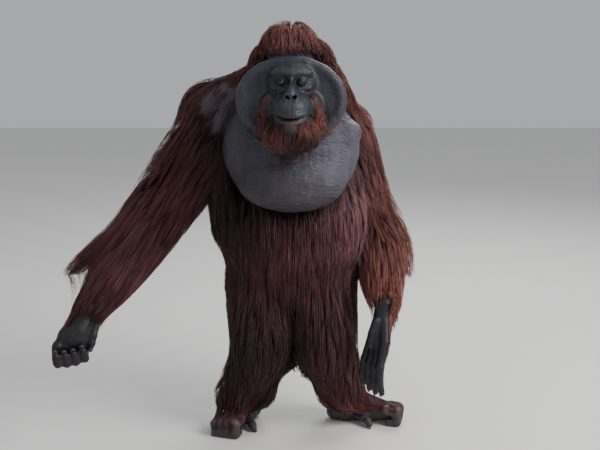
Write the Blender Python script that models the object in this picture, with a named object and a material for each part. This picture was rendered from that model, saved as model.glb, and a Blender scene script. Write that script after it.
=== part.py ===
# Adult male orangutan with cheek pads and a throat pouch, standing on two feet.
# The right arm reaches down and out to a clenched fist, the left arm hangs with an open hand.
# Each part is a blend of balls and ellipsoids over the skeleton, grown by the depth of the coat,
# merged to one smooth shape, and cut back by a thin gap where it meets its neighbours.
# Frame: metres, +Z up. The animal faces -Y, so its right side is at -X.

import math

import bmesh
import bpy
from mathutils import Matrix, Vector

# Width of the gap between parts
GAP = 0.0012

# Sizes of the face
EYE_RADIUS = 0.0115
EYE_SPACING = 0.058
EYE_LEVEL = 1.186
EYE_Y = -0.333
SOCKET_GAP = 0.0009
PAD_HALF_WIDTH = 0.166
PAD_HALF_HEIGHT = 0.131
PAD_LEVEL = 1.130
PAD_RIM = 0.021
PAD_Y = -0.292
MOUTH_LEVEL = 1.094

# Depth of the coat over the flesh, by region
COAT = {
    "belly": 0.036,
    "back": 0.050,
    "shoulder": 0.022,
    "upper_arm": 0.034,
    "forearm": 0.036,
    "wrist": 0.020,
    "thigh": 0.040,
    "shin": 0.034,
    "crown": 0.042,
}

# The pose: the joints of the skeleton
MIDLINE_X = -0.026
JOINTS = {
    "shoulder_right": Vector((-0.236, -0.015, 1.056)),
    "elbow_right": Vector((-0.455, -0.030, 0.728)),
    "wrist_right": Vector((-0.660, -0.235, 0.466)),
    "knuckles_right": Vector((-0.704, -0.285, 0.385)),
    "shoulder_left": Vector((0.140, 0.020, 1.000)),
    "elbow_left": Vector((0.262, 0.165, 0.645)),
    "wrist_left": Vector((0.270, -0.135, 0.468)),
    "knuckles_left": Vector((0.250, -0.165, 0.352)),
    "hip_right": Vector((-0.125, 0.050, 0.500)),
    "knee_right": Vector((-0.130, -0.070, 0.295)),
    "ankle_right": Vector((-0.178, 0.050, 0.085)),
    "hip_left": Vector((0.062, 0.050, 0.500)),
    "knee_left": Vector((0.092, -0.065, 0.295)),
    "ankle_left": Vector((0.150, 0.050, 0.085)),
}

# Trunk from crotch to neck: height, centre X, centre Y, flesh half width, flesh half depth
TRUNK_STATIONS = (
    (0.44, -0.030, 0.045, 0.120, 0.090),
    (0.52, -0.026, 0.040, 0.175, 0.130),
    (0.62, -0.024, 0.025, 0.208, 0.155),
    (0.72, -0.030, 0.015, 0.222, 0.168),
    (0.82, -0.040, 0.010, 0.212, 0.160),
    (0.92, -0.050, 0.010, 0.192, 0.142),
    (1.01, -0.052, 0.000, 0.160, 0.118),
    (1.09, -0.045, -0.030, 0.105, 0.095),
)

# Fingers and toes: lengths of the three bones and radius at the knuckle
FINGER_BONES = (0.080, 0.050, 0.034)
FINGER_RADIUS = 0.0165
FIST_BONES = (0.044, 0.040, 0.028)
FIST_RADIUS = 0.0165
TOE_BONES = (0.036, 0.036, 0.026)
TOE_RADIUS = 0.0195

# Colour, roughness and metallic value of each finish
FINISHES = {
    "coat": ((0.19, 0.055, 0.030), 0.75, 0.0),
    "skin": ((0.060, 0.058, 0.066), 0.55, 0.0),
    "pouch": ((0.105, 0.090, 0.110), 0.60, 0.0),
    "eye": ((0.035, 0.018, 0.010), 0.10, 0.0),
}
UP = Vector((0.0, 0.0, 1.0))


# Shapes
def blend(a, b, share):
    return a + (b - a) * share


def on_midline(y, z, x=0.0):
    return Vector((MIDLINE_X + x, y, z))


def add_ellipsoid(balls, centre, radii, turn=(0.0, 0.0, 0.0)):
    """Adds the placement of a unit ball; turn is in degrees about X, Y and Z."""
    rotation = Matrix.Rotation(math.radians(turn[2]), 4, "Z")
    rotation = rotation @ Matrix.Rotation(math.radians(turn[1]), 4, "Y")
    rotation = rotation @ Matrix.Rotation(math.radians(turn[0]), 4, "X")
    balls.append(Matrix.Translation(centre) @ rotation @ Matrix.Diagonal((*radii, 1.0)))


def unit_ball(around, along):
    """Corners and faces of a ball of radius 1."""
    mesh = bmesh.new()
    bmesh.ops.create_uvsphere(mesh, u_segments=around, v_segments=along, radius=1.0)
    corners = [vertex.co.copy() for vertex in mesh.verts]
    faces = [[vertex.index for vertex in face.verts] for face in mesh.faces]
    mesh.free()
    return corners, faces


def add_limb(balls, joints, radii, stretch=(1.0, 1.0, 1.0)):
    """A row of overlapping balls along the joints, whose radius changes evenly between them."""
    for start, end, first, last in zip(joints, joints[1:], radii, radii[1:]):
        count = max(2, math.ceil((end - start).length / (0.30 * min(first, last))))
        for step in range(count + 1):
            share = step / count
            radius = blend(first, last, share)
            add_ellipsoid(balls, blend(start, end, share), [radius * s for s in stretch])


def add_digit(balls, knuckle, heading, curl_axis, bones, radius, curls):
    """A finger or toe: each bone turns about curl_axis by its own angle from the one before."""
    points = [knuckle]
    direction = heading.normalized()
    for length, curl in zip(bones, curls):
        direction = Matrix.Rotation(math.radians(curl), 3, curl_axis) @ direction
        points.append(points[-1] + direction * length)
    add_limb(balls, points, [radius, radius * 0.96, radius * 0.86, radius * 0.72])


def evaluated(shape):
    """Replaces the mesh of an object by its evaluated one, and drops its modifiers."""
    graph = bpy.context.evaluated_depsgraph_get()
    made = bpy.data.meshes.new_from_object(shape.evaluated_get(graph))
    shape.modifiers.clear()
    old = shape.data
    shape.data = made
    bpy.data.meshes.remove(old)


def placed_balls(name, balls, around=20, along=12):
    """One object that holds a ball for each placement."""
    ball_corners, ball_faces = unit_ball(around, along)
    corners = []
    faces = []
    for placement in balls:
        first = len(corners)
        corners.extend(placement @ corner for corner in ball_corners)
        faces.extend([first + index for index in face] for face in ball_faces)
    data = bpy.data.meshes.new(name)
    data.from_pydata(corners, [], faces)
    shape = bpy.data.objects.new(name, data)
    bpy.context.collection.objects.link(shape)
    return shape


def merged(name, balls, voxel, smooth_steps, shaping=None):
    """Merges overlapping balls into one smooth skin of fine facets."""
    shape = placed_balls(name, balls)
    remesh = shape.modifiers.new("Merge", "REMESH")
    remesh.mode = "VOXEL"
    remesh.voxel_size = voxel
    soften = shape.modifiers.new("Soften", "SMOOTH")
    soften.iterations = smooth_steps
    soften.factor = 0.5
    evaluated(shape)
    if shaping:
        for vertex in shape.data.vertices:
            vertex.co = shaping(vertex.co)
    return shape


def faceted(shape, triangles):
    """Thins a skin out to about the given number of triangles."""
    thin_out = shape.modifiers.new("Facets", "DECIMATE")
    faces = sum(len(face.vertices) - 2 for face in shape.data.polygons)
    thin_out.ratio = min(1.0, triangles / faces)
    evaluated(shape)
    return shape


def keep_side(shape, point, normal):
    """Cuts with a plane, keeps the side the normal points to, and closes the cut flat."""
    normal = normal.normalized()
    mesh = bmesh.new()
    mesh.from_mesh(shape.data)
    cut = bmesh.ops.bisect_plane(
        mesh,
        geom=list(mesh.verts) + list(mesh.edges) + list(mesh.faces),
        dist=1e-6,
        plane_co=point + normal * GAP / 2,
        plane_no=normal,
        clear_inner=True,
    )
    rim = [item for item in cut["geom_cut"] if isinstance(item, bmesh.types.BMEdge)]
    rim = [edge for edge in rim if edge.is_boundary]
    if rim:
        bmesh.ops.triangle_fill(mesh, use_beauty=True, use_dissolve=False, edges=rim)
    bmesh.ops.recalc_face_normals(mesh, faces=mesh.faces)
    mesh.to_mesh(shape.data)
    mesh.free()


def keep_largest(shape):
    """Drops every loose piece but the one with the most corners."""
    mesh = bmesh.new()
    mesh.from_mesh(shape.data)
    unseen = set(mesh.verts)
    pieces = []
    while unseen:
        piece = [unseen.pop()]
        for vertex in piece:
            for edge in vertex.link_edges:
                other = edge.other_vert(vertex)
                if other in unseen:
                    unseen.discard(other)
                    piece.append(other)
        pieces.append(piece)
    largest = max(pieces, key=len)
    extra = [v for piece in pieces if piece is not largest for v in piece]
    bmesh.ops.delete(mesh, geom=extra, context="VERTS")
    mesh.to_mesh(shape.data)
    mesh.free()


def copied(shape, name):
    twin = shape.copy()
    twin.data = shape.data.copy()
    twin.name = name
    bpy.context.collection.objects.link(twin)
    return twin


def grown(shape, gap=GAP):
    """A hidden copy of a shape, larger by the gap on every side, to cut its neighbours with."""
    cutter = copied(shape, shape.name + "_cutter")
    mesh = bmesh.new()
    mesh.from_mesh(cutter.data)
    mesh.normal_update()
    offsets = [vertex.normal * gap * min(3.0, vertex.calc_shell_factor()) for vertex in mesh.verts]
    for vertex, offset in zip(mesh.verts, offsets):
        vertex.co += offset
    mesh.to_mesh(cutter.data)
    mesh.free()
    cutter.hide_render = True
    cutter.display_type = "WIRE"
    return cutter


def cut_away(shape, cutters):
    for cutter in cutters:
        cut = shape.modifiers.new("Clear", "BOOLEAN")
        cut.operation = "DIFFERENCE"
        cut.solver = "EXACT"
        cut.object = cutter
        evaluated(shape)
        keep_largest(shape)


# Trunk and limbs
def trunk_at(height):
    """Centre and flesh half sizes of the trunk at a height, read between its stations."""
    for lower, upper in zip(TRUNK_STATIONS, TRUNK_STATIONS[1:]):
        if height <= upper[0]:
            break
    share = min(1.0, max(0.0, (height - lower[0]) / (upper[0] - lower[0])))
    return [blend(a, b, share) for a, b in zip(lower, upper)]


def build_trunk():
    balls = []
    slices = 22
    for step in range(slices + 1):
        height = blend(TRUNK_STATIONS[0][0], TRUNK_STATIONS[-1][0], step / slices)
        _, x, y, half_width, half_depth = trunk_at(height)
        centre = Vector((x, y, height))
        add_ellipsoid(balls, centre, (half_width + COAT["belly"], half_depth + COAT["belly"], 0.070))
    # Shoulder yoke, neck, long hair over the shoulder blades, and the hair of the rump
    yoke = [JOINTS["shoulder_right"], Vector((-0.050, 0.015, 1.065)), JOINTS["shoulder_left"]]
    add_limb(balls, yoke, [0.072, 0.105, 0.070])
    add_ellipsoid(balls, on_midline(-0.070, 1.130), (0.118, 0.135, 0.095), (15, 0, 0))
    for outward, tip, rise in ((-1.0, "shoulder_right", 0.022), (1.0, "shoulder_left", 0.060)):
        nape = on_midline(-0.055, 1.175, outward * 0.082)
        end = JOINTS[tip] + Vector((-outward * 0.012, 0.0, rise))
        add_limb(balls, [nape, end], [0.070, 0.062])
    # Hair that stands off both sides of the neck and hangs down the right flank
    add_limb(balls, [Vector((-0.140, -0.055, 1.160)), Vector((-0.215, -0.035, 1.130))], [0.066, 0.058])
    add_limb(balls, [on_midline(-0.085, 1.190, 0.105), Vector((0.125, -0.045, 1.105))], [0.055, 0.052])
    add_limb(balls, [Vector((-0.225, -0.010, 0.840)), Vector((-0.208, -0.010, 0.690))], [0.085, 0.085])
    back = COAT["back"]
    add_ellipsoid(balls, Vector((-0.045, 0.075, 0.950)), (0.195, 0.085 + back, 0.170))
    add_ellipsoid(balls, Vector((-0.030, 0.095, 0.560)), (0.155, 0.070 + back, 0.130))
    return faceted(merged("trunk", balls, 0.012, 10), 490)


def build_arm(side):
    shoulder = JOINTS["shoulder_" + side]
    elbow = JOINTS["elbow_" + side]
    wrist = JOINTS["wrist_" + side]
    middle = blend(shoulder, elbow, 0.5)
    coat = COAT["upper_arm"]
    balls = []
    add_ellipsoid(balls, shoulder, (0.076 + COAT["shoulder"],) * 3)
    add_limb(balls, [shoulder, middle, elbow], [0.070 + coat, 0.054 + coat, 0.048 + coat])
    coat = COAT["forearm"]
    joints = [elbow, blend(elbow, wrist, 0.30), blend(elbow, wrist, 0.72), wrist]
    add_limb(balls, joints, [0.048 + coat, 0.052 + coat, 0.038 + coat, 0.031 + COAT["wrist"]])
    # Long hair hangs from the arm as a fin behind the forearm and a curtain below it
    if side == "right":
        fin = [(-0.312, -0.020, 1.036), (-0.430, -0.030, 0.866), (-0.548, -0.080, 0.686),
               (-0.631, -0.120, 0.635), (-0.752, -0.165, 0.572)]
        curtain = [(-0.315, -0.010, 0.860), (-0.440, -0.050, 0.700), (-0.545, -0.130, 0.575),
                   (-0.625, -0.210, 0.480)]
        add_limb(balls, [Vector(p) for p in fin], [0.074, 0.070, 0.062, 0.050, 0.012])
        crest = [(-0.240, -0.030, 1.125), (-0.306, -0.030, 1.114), (-0.345, -0.030, 1.064)]
        add_limb(balls, [Vector(p) for p in crest], [0.060, 0.058, 0.050])
        add_limb(balls, [Vector(p) for p in curtain], [0.070, 0.070, 0.062, 0.040])
    else:
        fin = [(0.285, 0.120, 0.700), (0.330, 0.110, 0.600), (0.378, 0.060, 0.512)]
        curtain = [(0.275, 0.090, 0.620), (0.300, 0.000, 0.510), (0.308, -0.070, 0.430)]
        add_limb(balls, [Vector(p) for p in fin], [0.062, 0.058, 0.016])
        add_limb(balls, [Vector(p) for p in curtain], [0.060, 0.050, 0.024])
    return faceted(merged("arm", balls, 0.010, 8), 280)


def build_leg(side):
    hip = JOINTS["hip_" + side]
    knee = JOINTS["knee_" + side]
    ankle = JOINTS["ankle_" + side]
    thigh = COAT["thigh"]
    shin = COAT["shin"]
    balls = []
    middle = blend(hip, knee, 0.5)
    add_limb(balls, [hip, middle, knee], [0.092 + thigh, 0.076 + thigh, 0.058 + thigh])
    calf = blend(knee, ankle, 0.35) + Vector((0.0, 0.020, 0.0))
    add_limb(balls, [knee, calf, ankle], [0.058 + thigh, 0.056 + shin, 0.034 + shin])
    # Hair flares past the ankle like a trouser leg, and hangs between the thighs
    outward = -1.0 if side == "right" else 1.0
    flare = 0.046 if side == "right" else 0.006
    hem = Vector((ankle.x + outward * flare, ankle.y - 0.035, 0.105))
    add_limb(balls, [blend(knee, ankle, 0.2), hem], [0.092, 0.072])
    inner = Vector((ankle.x - outward * 0.046, ankle.y - 0.040, 0.110))
    add_limb(balls, [blend(hip, knee, 0.4), inner], [0.085, 0.054])
    middle = Vector((-0.028 + outward * 0.045, -0.020, 0.235))
    add_limb(balls, [blend(hip, knee, 0.2), middle], [0.090, 0.052])
    leg = faceted(merged("leg", balls, 0.010, 8), 262)
    keep_side(leg, Vector((0.0, 0.0, 0.052)), UP)
    return leg


def build_hand_right():
    """A clenched fist with the four fingers side by side and the thumb over them."""
    wrist = JOINTS["wrist_right"]
    knuckles = JOINTS["knuckles_right"]
    across = Vector((0.93, 0.34, 0.10)).normalized()
    balls = []
    arm = (wrist - JOINTS["elbow_right"]).normalized()
    add_limb(balls, [wrist - arm * 0.035, wrist], [0.026, 0.032])
    add_limb(balls, [wrist, blend(wrist, knuckles, 0.6)], [0.033, 0.036], (1.15, 0.9, 1.0))
    palm = blend(wrist, knuckles, 0.85)
    add_ellipsoid(balls, palm + Vector((0.004, 0.014, 0.0)), (0.056, 0.034, 0.044), (0, 0, 20))
    for index in range(4):
        offset = (index - 1.5) * 0.0272
        sag = -0.007 * (1.0 - abs(index - 1.5) / 1.5)
        knuckle = knuckles + across * offset + UP * sag
        add_digit(balls, knuckle, Vector((0.04, -0.12, -1.0)), across, FIST_BONES, FIST_RADIUS, (16, -98, -80))
    thumb = wrist + across * 0.030 + Vector((0.0, -0.026, -0.034))
    add_digit(balls, thumb, Vector((-0.12, -0.50, -0.85)), across, (0.034, 0.024, 0.016), 0.014, (0, 10, 20))
    # Hair on the back of the fist
    add_ellipsoid(balls, wrist + Vector((-0.042, -0.030, -0.055)), (0.026, 0.032, 0.062), (0, 8, 0))
    return faceted(merged("hand_right", balls, 0.0040, 3), 520)


def build_hand_left():
    """A long open hand that hangs with its fingers a little curled."""
    wrist = JOINTS["wrist_left"]
    knuckles = JOINTS["knuckles_left"]
    across = Vector((0.50, -0.86, -0.06)).normalized()
    balls = []
    arm = (wrist - JOINTS["elbow_left"]).normalized()
    add_limb(balls, [wrist - arm * 0.030 + UP * 0.010, wrist], [0.026, 0.031])
    add_limb(balls, [wrist, blend(wrist, knuckles, 0.5), knuckles], [0.031, 0.033, 0.029])
    for index in range(4):
        offset = (index - 1.5) * 0.0240
        rise = 0.007 * abs(index - 1.5)
        knuckle = knuckles + across * offset + UP * rise
        heading = (knuckles - wrist) + across * (0.008 * (index - 1.5)) + Vector((-0.022, 0.0, 0.0))
        add_limb(balls, [blend(wrist, knuckle, 0.4), knuckle], [0.020, 0.0185])
        add_digit(balls, knuckle, heading, across, FINGER_BONES, FINGER_RADIUS, (6, 12, 16))
    thumb = blend(wrist, knuckles, 0.40) + Vector((-0.022, -0.024, 0.0))
    add_digit(balls, thumb, Vector((-0.35, -0.25, -1.0)), across, (0.034, 0.026, 0.018), 0.0145, (0, 12, 16))
    # Hair along the outer edge of the hand
    add_limb(balls, [wrist + Vector((0.026, 0.010, 0.0)), wrist + Vector((0.030, 0.004, -0.090))], [0.022, 0.012])
    return faceted(merged("hand_left", balls, 0.0040, 3), 540)


def build_foot(side):
    """A long hand-like foot with its four toes curled under and a short great toe."""
    ankle = JOINTS["ankle_" + side]
    outward = -1.0 if side == "right" else 1.0
    if side == "right":
        forward = Vector((-0.40, -0.92, 0.0)).normalized()
    else:
        forward = Vector((0.985, -0.17, 0.0)).normalized()
    inward = Vector((forward.y, -forward.x, 0.0)) * outward
    floor_point = Vector((ankle.x, ankle.y, 0.0))
    heel = floor_point - forward * 0.025 + UP * 0.031
    length = 0.160 if side == "right" else 0.175
    ball = heel + forward * length + UP * 0.014
    balls = []
    add_ellipsoid(balls, heel, (0.036, 0.036, 0.034))
    add_limb(balls, [ankle + UP * 0.020, heel + forward * 0.030], [0.034, 0.036])
    add_limb(balls, [ankle + forward * 0.020, ball], [0.036, 0.028])
    add_limb(balls, [heel, ball - UP * 0.008], [0.033, 0.031])
    for index in range(4):
        offset = (index - 1.5) * 0.0240
        knuckle = ball - inward * offset + UP * (0.014 - 0.004 * index)
        heading = forward + UP * 0.10
        add_digit(balls, knuckle, heading, inward * outward, TOE_BONES, TOE_RADIUS, (-12, -86, -80))
    root = heel + forward * 0.080 + inward * 0.026
    heading = forward * 0.75 + inward * 0.70
    add_digit(balls, root, heading, inward * outward, (0.028, 0.020, 0.014), 0.0165, (-4, -16, -16))
    foot = faceted(merged("foot", balls, 0.0040, 3), 340)
    keep_side(foot, Vector((0.0, 0.0, 0.0035)), UP)
    return foot


# Head
def build_head():
    balls = []
    crown = COAT["crown"]
    add_ellipsoid(balls, on_midline(-0.185, 1.215), (0.092, 0.118, 0.088))
    add_ellipsoid(balls, on_midline(-0.160, 1.225, 0.003), (0.096 + crown, 0.118, 0.078 + crown / 2))
    add_ellipsoid(balls, on_midline(-0.160, 1.276, -0.006), (0.094, 0.100, 0.084))
    add_ellipsoid(balls, on_midline(-0.130, 1.150), (0.118, 0.105, 0.110))
    # Face plate, brow ridge, nose, muzzle and the ridges below the eyes
    add_ellipsoid(balls, on_midline(-0.262, 1.185), (0.090, 0.072, 0.072))
    brow = [on_midline(-0.318, 1.212, -0.055), on_midline(-0.330, 1.209), on_midline(-0.318, 1.212, 0.055)]
    add_limb(balls, brow, [0.009, 0.013, 0.009])
    add_limb(balls, [on_midline(-0.330, 1.200), on_midline(-0.376, 1.150)], [0.011, 0.014])
    add_limb(balls, [on_midline(-0.372, 1.146, -0.013), on_midline(-0.372, 1.146, 0.013)], [0.014, 0.014])
    add_ellipsoid(balls, on_midline(-0.318, 1.120), (0.064, 0.092, 0.046), (8, 0, 0))
    add_ellipsoid(balls, on_midline(-0.352, 1.106), (0.056, 0.070, 0.034), (6, 0, 0))
    for side in (-1.0, 1.0):
        below_eye = [on_midline(-0.322, 1.166, side * 0.018), on_midline(-0.312, 1.170, side * 0.052)]
        add_limb(balls, below_eye, [0.013, 0.013])
        add_ellipsoid(balls, on_midline(-0.308, 1.116, side * 0.064), (0.030, 0.038, 0.040))
    head = merged("head", balls, 0.0045, 4, shaped_face)
    return faceted(head, 960)


def shaped_face(place):
    """Opens the eye sockets and the nostrils in the merged head."""
    x = place.x - MIDLINE_X
    for side in (-1.0, 1.0):
        away = math.hypot((x - side * EYE_SPACING / 2) / 1.35, place.z - EYE_LEVEL)
        if place.y < -0.28 and away < 0.014:
            place.y = max(place.y, EYE_Y - 0.002 + 0.9 * max(0.0, 0.006 - away))
        away = math.hypot(x - side * 0.010, (place.z - 1.143) / 0.7)
        if place.y < -0.36 and away < 0.0075:
            place.y += 0.009
    return place


def build_jaw():
    """The lower jaw with its lip, chin and beard, closed against the upper lip by a thin cut."""
    balls = []
    add_ellipsoid(balls, on_midline(-0.352, 1.080), (0.050, 0.064, 0.030))
    add_ellipsoid(balls, on_midline(-0.345, 1.055), (0.050, 0.058, 0.036))
    add_ellipsoid(balls, on_midline(-0.290, 1.060), (0.078, 0.080, 0.052))
    add_ellipsoid(balls, on_midline(-0.335, 1.028), (0.086, 0.062, 0.046))
    for index in range(7):
        lean = (index - 3) / 3.0
        tip = on_midline(-0.345 + 0.012 * abs(lean), 0.985 + 0.018 * lean * lean, lean * 0.070)
        root = on_midline(-0.335, 1.035, lean * 0.058)
        add_limb(balls, [root, tip], [0.030, 0.013])
    jaw = faceted(merged("jaw", balls, 0.0045, 4), 360)
    keep_side(jaw, on_midline(-0.400, MOUTH_LEVEL), Vector((0.0, 0.16, -1.0)))
    return jaw


def build_eye(side):
    outward = -1.0 if side == "right" else 1.0
    centre = on_midline(EYE_Y + 0.0095, EYE_LEVEL, outward * EYE_SPACING / 2)
    balls = []
    add_ellipsoid(balls, centre, (EYE_RADIUS,) * 3)
    return placed_balls("eye", balls, 12, 7)


def build_ear(side):
    outward = -1.0 if side == "right" else 1.0
    balls = []
    centre = on_midline(-0.160, 1.190, outward * 0.122)
    for step in range(10):
        angle = 2 * math.pi * step / 10
        rim = Vector((outward * 0.004, math.sin(angle) * 0.011, math.cos(angle) * 0.017))
        add_ellipsoid(balls, centre + rim, (0.0065, 0.0065, 0.0065))
    add_ellipsoid(balls, centre - Vector((outward * 0.006, 0.0, 0.0)), (0.012, 0.012, 0.018))
    return faceted(merged("ear", balls, 0.0025, 3), 100)


def build_pads():
    """The cheek pads: one wide dish around the face, parted along the middle."""
    balls = []
    steps = 56
    for step in range(steps):
        angle = 2 * math.pi * step / steps
        x = math.cos(angle) * (PAD_HALF_WIDTH - PAD_RIM)
        z = math.sin(angle) * (PAD_HALF_HEIGHT - PAD_RIM)
        y = PAD_Y + 0.10 * z + 0.020 * abs(math.cos(angle))
        add_ellipsoid(balls, on_midline(y, PAD_LEVEL + z, x), (PAD_RIM, PAD_RIM * 1.1, PAD_RIM))
    add_ellipsoid(balls, on_midline(PAD_Y + 0.014, PAD_LEVEL), (0.152, 0.034, 0.118), (-6, 0, 0))
    return faceted(merged("pads", balls, 0.0050, 5), 420)


def build_pouch():
    """The throat pouch: a wide bag slung like a collar from behind the cheek pads."""
    balls = []
    add_ellipsoid(balls, Vector((-0.0275, -0.140, 0.967)), (0.216, 0.137, 0.192))
    add_ellipsoid(balls, Vector((-0.0260, -0.185, 0.885)), (0.178, 0.117, 0.110), (8, 0, 0))
    add_ellipsoid(balls, Vector((0.118, -0.150, 1.003)), (0.080, 0.082, 0.052), (0, -24, 0))
    return faceted(merged("throat_pouch", balls, 0.008, 8), 260)


# Assembly
def finish(shape, name, look):
    shape.name = name
    shape.data.name = name
    shape.data.materials.clear()
    colour, roughness, metallic = FINISHES[look]
    finish_of_part = bpy.data.materials.new(name + "_" + look)
    finish_of_part.use_nodes = True
    shader = finish_of_part.node_tree.nodes["Principled BSDF"]
    shader.inputs["Base Color"].default_value = (*colour, 1.0)
    shader.inputs["Roughness"].default_value = roughness
    shader.inputs["Metallic"].default_value = metallic
    shape.data.materials.append(finish_of_part)
    mesh = bmesh.new()
    mesh.from_mesh(shape.data)
    bmesh.ops.triangulate(mesh, faces=mesh.faces)
    mesh.to_mesh(shape.data)
    mesh.free()
    for face in shape.data.polygons:
        face.use_smooth = True


def parted(shape, point, normal):
    """Parts a shape with a thin cut; the first piece is the one the normal points to."""
    beyond = copied(shape, "beyond")
    keep_side(beyond, point, normal)
    keep_largest(beyond)
    keep_side(shape, point, -normal)
    keep_largest(shape)
    return beyond, shape


def build_head_parts(parts, cutters):
    sockets = []
    for side in ("right", "left"):
        eye = build_eye(side)
        parts["eye_" + side] = eye
        sockets.append(grown(eye, SOCKET_GAP))
    parts["lower_jaw"] = build_jaw()
    cutters["jaw"] = grown(parts["lower_jaw"])
    parts["head"] = build_head()
    cutters["head"] = grown(parts["head"])
    cut_away(parts["head"], sockets + [cutters["jaw"]])
    pads = build_pads()
    cutters["pads"] = grown(pads)
    cut_away(pads, [cutters["head"], cutters["jaw"]])
    left_pad, right_pad = parted(pads, on_midline(0.0, 0.0), Vector((1.0, 0.0, 0.0)))
    parts["cheek_pad_right"] = right_pad
    parts["cheek_pad_left"] = left_pad
    for side in ("right", "left"):
        parts["ear_" + side] = build_ear(side)
        cut_away(parts["ear_" + side], [cutters["head"], cutters["pads"]])
    pouch = build_pouch()
    cutters["pouch"] = grown(pouch)
    cut_away(pouch, [cutters["head"], cutters["jaw"], cutters["pads"]])
    parts["throat_pouch"] = pouch
    for socket in sockets:
        bpy.data.objects.remove(socket, do_unlink=True)


def build_trunk_parts(parts, cutters):
    trunk = build_trunk()
    cutters["trunk"] = grown(trunk)
    front = [cutters[name] for name in ("head", "jaw", "pads", "pouch")]
    cut_away(trunk, front)
    collar = Vector((-0.045, 0.020, 1.095))
    parts["neck"], parts["trunk"] = parted(trunk, collar, Vector((0.0, -0.35, 1.0)))


def build_arm_parts(parts, cutters, side):
    shoulder = JOINTS["shoulder_" + side]
    elbow = JOINTS["elbow_" + side]
    wrist = JOINTS["wrist_" + side]
    hand = build_hand_right() if side == "right" else build_hand_left()
    arm = build_arm(side)
    hand_cutter = grown(hand)
    cut_away(arm, [hand_cutter, cutters["pads"], cutters["pouch"], cutters["trunk"]])
    along = (elbow - shoulder).normalized() + (wrist - elbow).normalized()
    forearm, upper_arm = parted(arm, elbow, along)
    parts["upper_arm_" + side] = upper_arm
    parts["forearm_" + side] = forearm
    parts["hand_" + side] = hand
    bpy.data.objects.remove(hand_cutter, do_unlink=True)


def build_leg_parts(parts, cutters, side):
    outward = -1.0 if side == "right" else 1.0
    hip = JOINTS["hip_" + side]
    knee = JOINTS["knee_" + side]
    ankle = JOINTS["ankle_" + side]
    foot = build_foot(side)
    foot_cutter = grown(foot)
    leg = build_leg(side)
    keep_side(leg, Vector((-0.028, 0.0, 0.0)), Vector((outward, 0.0, 0.0)))
    cut_away(leg, [cutters["trunk"], foot_cutter])
    along = (knee - hip).normalized() + (ankle - knee).normalized()
    shin, thigh = parted(leg, knee, along)
    parts["thigh_" + side] = thigh
    parts["shin_" + side] = shin
    parts["foot_" + side] = foot
    bpy.data.objects.remove(foot_cutter, do_unlink=True)


def build_body():
    parts = {}
    cutters = {}
    build_head_parts(parts, cutters)
    build_trunk_parts(parts, cutters)
    for side in ("right", "left"):
        build_arm_parts(parts, cutters, side)
        build_leg_parts(parts, cutters, side)
    for cutter in cutters.values():
        bpy.data.objects.remove(cutter, do_unlink=True)
    return parts


def look_of(name):
    if name.startswith("eye"):
        return "eye"
    if name == "throat_pouch":
        return "pouch"
    if name.startswith(("cheek", "hand", "foot", "ear")):
        return "skin"
    return "coat"


def main():
    for old in list(bpy.data.objects):
        bpy.data.objects.remove(old, do_unlink=True)
    parts = build_body()
    for name, shape in parts.items():
        finish(shape, name, look_of(name))
    # The origin goes to the floor below the middle of the whole
    corners = [v.co for shape in parts.values() for v in shape.data.vertices]
    low = [min(c[axis] for c in corners) for axis in range(3)]
    high = [max(c[axis] for c in corners) for axis in range(3)]
    shift = Vector((-(low[0] + high[0]) / 2, -(low[1] + high[1]) / 2, -low[2]))
    for shape in parts.values():
        shape.data.transform(Matrix.Translation(shift))
    print("shift", tuple(round(s, 6) for s in shift))


main()
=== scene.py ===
import math

import bpy
import numpy as np
from mathutils import Matrix, Vector
from mathutils.kdtree import KDTree


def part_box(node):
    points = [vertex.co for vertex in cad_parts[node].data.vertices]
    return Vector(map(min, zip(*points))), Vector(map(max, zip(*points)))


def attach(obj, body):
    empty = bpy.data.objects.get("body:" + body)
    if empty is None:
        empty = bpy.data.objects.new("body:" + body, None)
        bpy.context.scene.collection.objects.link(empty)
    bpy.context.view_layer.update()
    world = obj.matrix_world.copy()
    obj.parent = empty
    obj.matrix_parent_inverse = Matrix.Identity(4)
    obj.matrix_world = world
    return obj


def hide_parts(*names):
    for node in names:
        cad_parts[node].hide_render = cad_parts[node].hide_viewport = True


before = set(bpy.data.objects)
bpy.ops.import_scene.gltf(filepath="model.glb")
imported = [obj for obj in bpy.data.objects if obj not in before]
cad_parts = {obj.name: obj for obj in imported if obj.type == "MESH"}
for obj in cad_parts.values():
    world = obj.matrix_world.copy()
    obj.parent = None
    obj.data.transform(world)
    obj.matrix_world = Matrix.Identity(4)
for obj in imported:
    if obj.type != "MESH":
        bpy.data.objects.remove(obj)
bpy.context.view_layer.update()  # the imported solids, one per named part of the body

scene = bpy.context.scene
dice = np.random.default_rng(41)

# The body is sketched in a frame of its own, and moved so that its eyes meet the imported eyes
eyeLow = (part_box("eye_right")[0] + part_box("eye_left")[0]) / 2
eyeHigh = (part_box("eye_right")[1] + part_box("eye_left")[1]) / 2
sketch = {
    "midline": -0.026,
    "eyeMiddle": Vector((-0.026, -0.3235, 1.186)),
    "eyeSpacing": 0.058,
    "eyeRadius": 0.0115,
}
origin = (eyeLow + eyeHigh) / 2 - sketch["eyeMiddle"]
shift = np.array(origin)

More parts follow.
